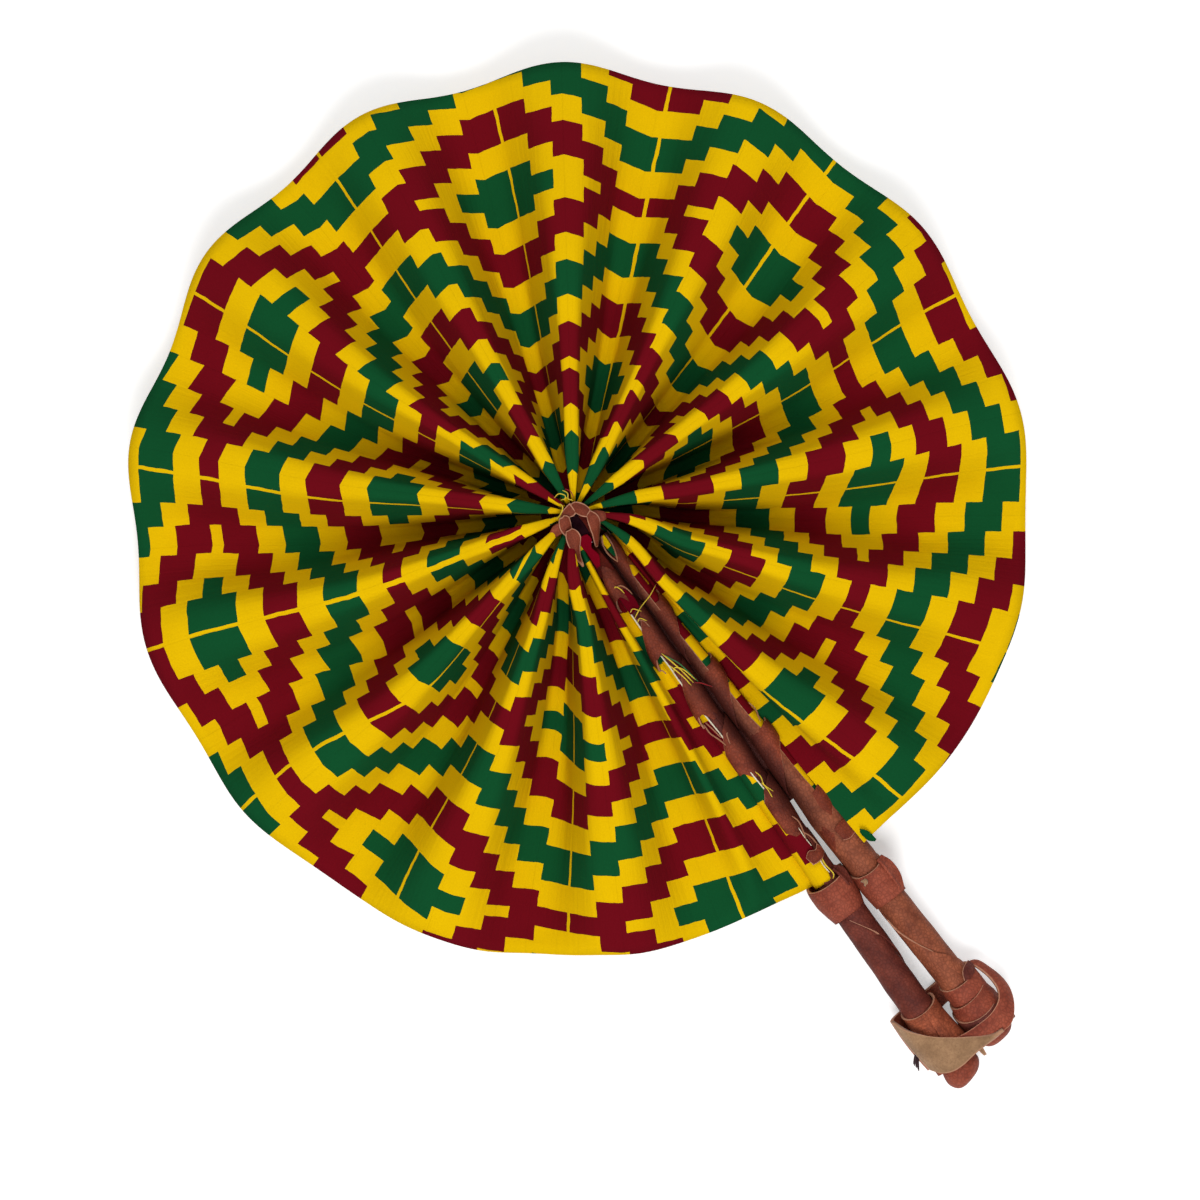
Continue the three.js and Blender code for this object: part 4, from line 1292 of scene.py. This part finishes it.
def add_loose_threads():
    """Threads along the sticks and at the ring, and the frayed tuft on the left stick end."""
    for number, (colour, radius, side, places) in enumerate(LOOSE_THREADS, start=1):
        thread(f"{NAMES[side]}_loose_thread_{number:02d}", on_sticks(places), radius, colour, side)
    for number in range(TUFT_THREADS):
        stray = (0.35 * ripple(number * 1.7, 0, 1, 3), -0.9 + 0.22 * number, 0.3 * ripple(number, 5, 1.3))
        line = enumerate(np.array(beside_sticks(TUFT)))
        spread = [point + np.array(stray) * (0.5 + 0.5 * i) for i, point in line]
        thread(f"tuft_{number + 1}", spread, 0.16, "dark", LEFT, count=12)
    for name, colour, radius, path in RING_THREADS:
        thread(name, on_disc(path), radius, colour, LEFT, count=28)


def add_bit(name, first, second, colour, body, thickness=0.3):
    grid, _ = ribbon(first, second, count=20, columns=7, crown=0.25)
    return add_sheet(name, grid, thickness, BITS[colour], body)


# The scraps of cloth that show in two windows of the lacing: side, colour and edges.
WINDOW_BITS = {
    "left_window_scrap": (LEFT, "maroon", [(-4.7, 24.6), (-4.9, 28), (-4.9, 31.6)],
                          [(-1.8, 24.4), (-1.1, 28), (-1.5, 31.2)]),
    "right_window_yellow": (RIGHT, "yellow", [(1.6, 8.4), (1.2, 10.2), (1.1, 12.2)],
                            [(2.8, 8.2), (2.9, 10), (2.6, 12)]),
    "right_window_green": (RIGHT, "green", [(1.1, 12.2), (1.2, 13.6), (1.6, 15.2)],
                           [(2.6, 12), (2.4, 13.4), (1.9, 15.2)]),
}


# The edges of the other scraps, and of the thong's loop and patch at the rim.
RED_SCRAP = (
    [(-4.3, 4.6, 28.6), (-4.5, 7, 27.2), (-4.3, 9.4, 25.4), (-4.5, 11.8, 23.6), (-4.6, 14.9, 21.8)],
    [(-1, 5.4, 28.6), (-0.8, 7.2, 27.2), (-2.3, 9.2, 25.4), (-1.8, 12, 23.6), (-3.5, 14.9, 22)],
)
RIGHT_LEAF = ([(10.4, 122.2, 18), (10.5, 124, 18), (11, 125.8, 17.6), (12.4, 127, 17)],
              [(10.9, 121.4, 18), (12, 122.6, 18), (12.7, 124.4, 17.6), (12.9, 126.8, 17)])
LEFT_LOOP = ([(-6.6, 119), (-5, 117.8), (-3.2, 118.6), (-1.7, 117.4)],
             [(-6.2, 121.6), (-4.6, 121.9), (-2.8, 121.6), (-1.5, 120.4)])
RIGHT_PATCH = ([(4.9, 117.2), (6.6, 116.5), (8.8, 116.4), (10.6, 116.9)],
               [(5.2, 121.2), (7, 121.9), (9, 121.5), (10.8, 121)])


def add_cloth_bits():
    """Scraps of cloth that show between the turns of thong, and the thong's ends at the rim."""
    add_bit("red_scrap", *map(on_disc, RED_SCRAP), "red", LEFT, 0.4)
    for name, (side, colour, first, second) in WINDOW_BITS.items():
        add_bit(name, on_sticks(first, 0.05), on_sticks(second, 0.05), colour, side)
    add_bit("right_leaf", *map(on_disc, RIGHT_LEAF), "green", RIGHT)
    add_ribbon("left_end_loop", *[on_sticks(edge, 0.2) for edge in LEFT_LOOP], 0.6, THONG_HIDE, LEFT,
               count=28, columns=9, crown=0.5, slot="red_leather")
    add_ribbon("right_end_patch", *[on_sticks(edge, 0.2) for edge in RIGHT_PATCH], 0.6, THONG_HIDE, RIGHT,
               count=28, columns=9, crown=0.3, pale=(False, True), slot="red_leather")


# The turns of the ring by their outer and inner edges, the solids that three of them stand for, and
# the ring's two tucked ends.
RING_TURNS = {
    "top": ([(-4.2, -3.2, 28), (-2.8, -4.1, 28.6), (-1, -4.6, 28.9), (0.5, -4.8, 29.1)],
            [(-3.2, -1.9, 28), (-2.2, -1.8, 28.6), (-0.8, -1.4, 28.9), (0.4, -1.7, 29.1)]),
    "upper_left": (
        [(-5.6, 3.2, 27.6), (-6.3, 1.5, 28.4), (-6.4, -0.2, 29.2), (-5.7, -1.9, 29.7), (-4.5, -3, 29.8)],
        [(-4, 2, 27.6), (-3.4, 0.6, 28.6), (-2.7, -0.7, 29.3), (-2.3, -2, 29.7), (-3.3, -3, 29.8)]),
    "upper_right": (
        [(0.3, -4.3, 28.6), (1.8, -4.2, 29.4), (3.2, -2.7, 29.8), (3.8, -0.8, 29.8), (3.5, 0.9, 29.6)],
        [(0.2, -2.4, 28.6), (0.4, -1.2, 29.3), (1, 0.2, 29.6), (1.9, 1.1, 29.7), (2.6, 1.5, 29.6)]),
    "lower_left": (
        [(-7.5, 11.6, 23.5), (-7.7, 9, 26), (-7.5, 6.2, 28.6), (-7.1, 3.9, 30), (-6.3, 2.2, 30.4),
         (-5.2, 1.2, 30.3)],
        [(-7.3, 11.7, 23.5), (-6.4, 8.9, 26), (-4.9, 6.8, 28.6), (-3, 4.7, 30), (-2.8, 3, 30.4),
         (-3.7, 1.4, 30.3)]),
    "right": (
        [(3.6, 0.2, 29.9), (4.6, 2.2, 30.1), (4.4, 3.9, 29.4), (3.2, 5.5, 28), (1.6, 7.2, 25.6),
         (-0.4, 9.4, 22.4)],
        [(2.4, 1, 29.9), (1.3, 2.9, 30), (0.7, 4.4, 29.2), (0.2, 6, 27.6), (-0.4, 7.6, 25),
         (-0.9, 9.4, 22)]),
}
RING_REPLACES = {
    "top": ["centre_lacing_ring"], "lower_left": ["left_lacing_lead"], "right": ["right_lacing_lead"]}
RING_ENDS = {
    "left": ([(-5.6, -2.2, 28.8), (-7.2, -2.4, 28.8), (-8.9, -1.8, 28.2), (-10, -0.6, 27.4)],
             [(-5.6, 0.9, 28.8), (-7.2, 0.7, 28.8), (-8.7, 0.5, 28.2), (-9.9, -0.1, 27.4)]),
    "right": ([(3.4, 0.4, 29), (4.9, 1.2, 29), (6.2, 2.4, 28.6), (7.2, 4, 27.8)],
              [(3, 3.6, 28.6), (4.2, 4.5, 28.6), (5.6, 5, 28.4), (7, 4.6, 27.8)]),
}
RING_UNDER = ([(0.1, -0.4, 28.2), (0.2, 2, 28.3), (0, 4.6, 28), (-0.3, 6.8, 27)],
              [(3, 0.4, 28.2), (2.2, 2.6, 28.3), (1.4, 4.6, 28), (0.4, 6.8, 27)])
LEFT_LEAD = ([(-4.6, 9, 21.5), (-5, 13, 20), (-5.6, 18, 19.2)],
             [(-1, 9, 21), (-0.8, 13, 20), (-0.6, 18, 19)])


def add_centre():
    """Five overlapping turns of thong that gather the folds, the ring's ends, and what lies under it."""
    for name, edges in RING_TURNS.items():
        add_ribbon(f"ring_{name}", *map(on_disc, edges), 0.7, RING_HIDE, LEFT, count=40, columns=11,
                   crown=0.5, replaces=RING_REPLACES.get(name, ()), slot="red_leather")
    for name, edges in RING_ENDS.items():
        add_ribbon(f"ring_end_{name}", *map(on_disc, edges), 0.6, RING_HIDE, LEFT, count=24, columns=9,
                   crown=0.4, pale=NO_PALE, slot="red_leather")
    # The turn under the ring and the left lead have shade painted into their leather.
    add_ribbon("ring_under", *map(on_disc, RING_UNDER), 0.4, SHADED_LEAD_HIDE, LEFT, count=24, columns=9,
               crown=0.2, pale=NO_PALE, slot="red_leather")
    add_ribbon("left_lead_hide", *map(on_disc, LEFT_LEAD), 0.6, SHADED_LEAD_HIDE, LEFT, count=24, columns=9,
               crown=0.5, pale=NO_PALE, slot="dark_leather")


add_sleeve(LEFT)
add_sleeve(RIGHT)
add_hems()
add_lacing(LEFT)
add_lacing(RIGHT)
add_collars()
add_wraps()
add_cap(LEFT, 200.2, 0.2, 1.6)
add_cap(RIGHT, 196.2, -0.3, -0.5)
add_strap()
add_core()
add_centre()
add_loose_threads()
add_cloth_bits()

# The solids that are shown as they are.
SHOWN_SOLIDS = {"left_stick_core": WOOD, "right_stick_core": WOOD, "centre_back_knot": KNOT_HIDE}
for node, material in SHOWN_SOLIDS.items():
    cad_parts[node].data.materials.clear()
    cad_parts[node].data.materials.append(material)
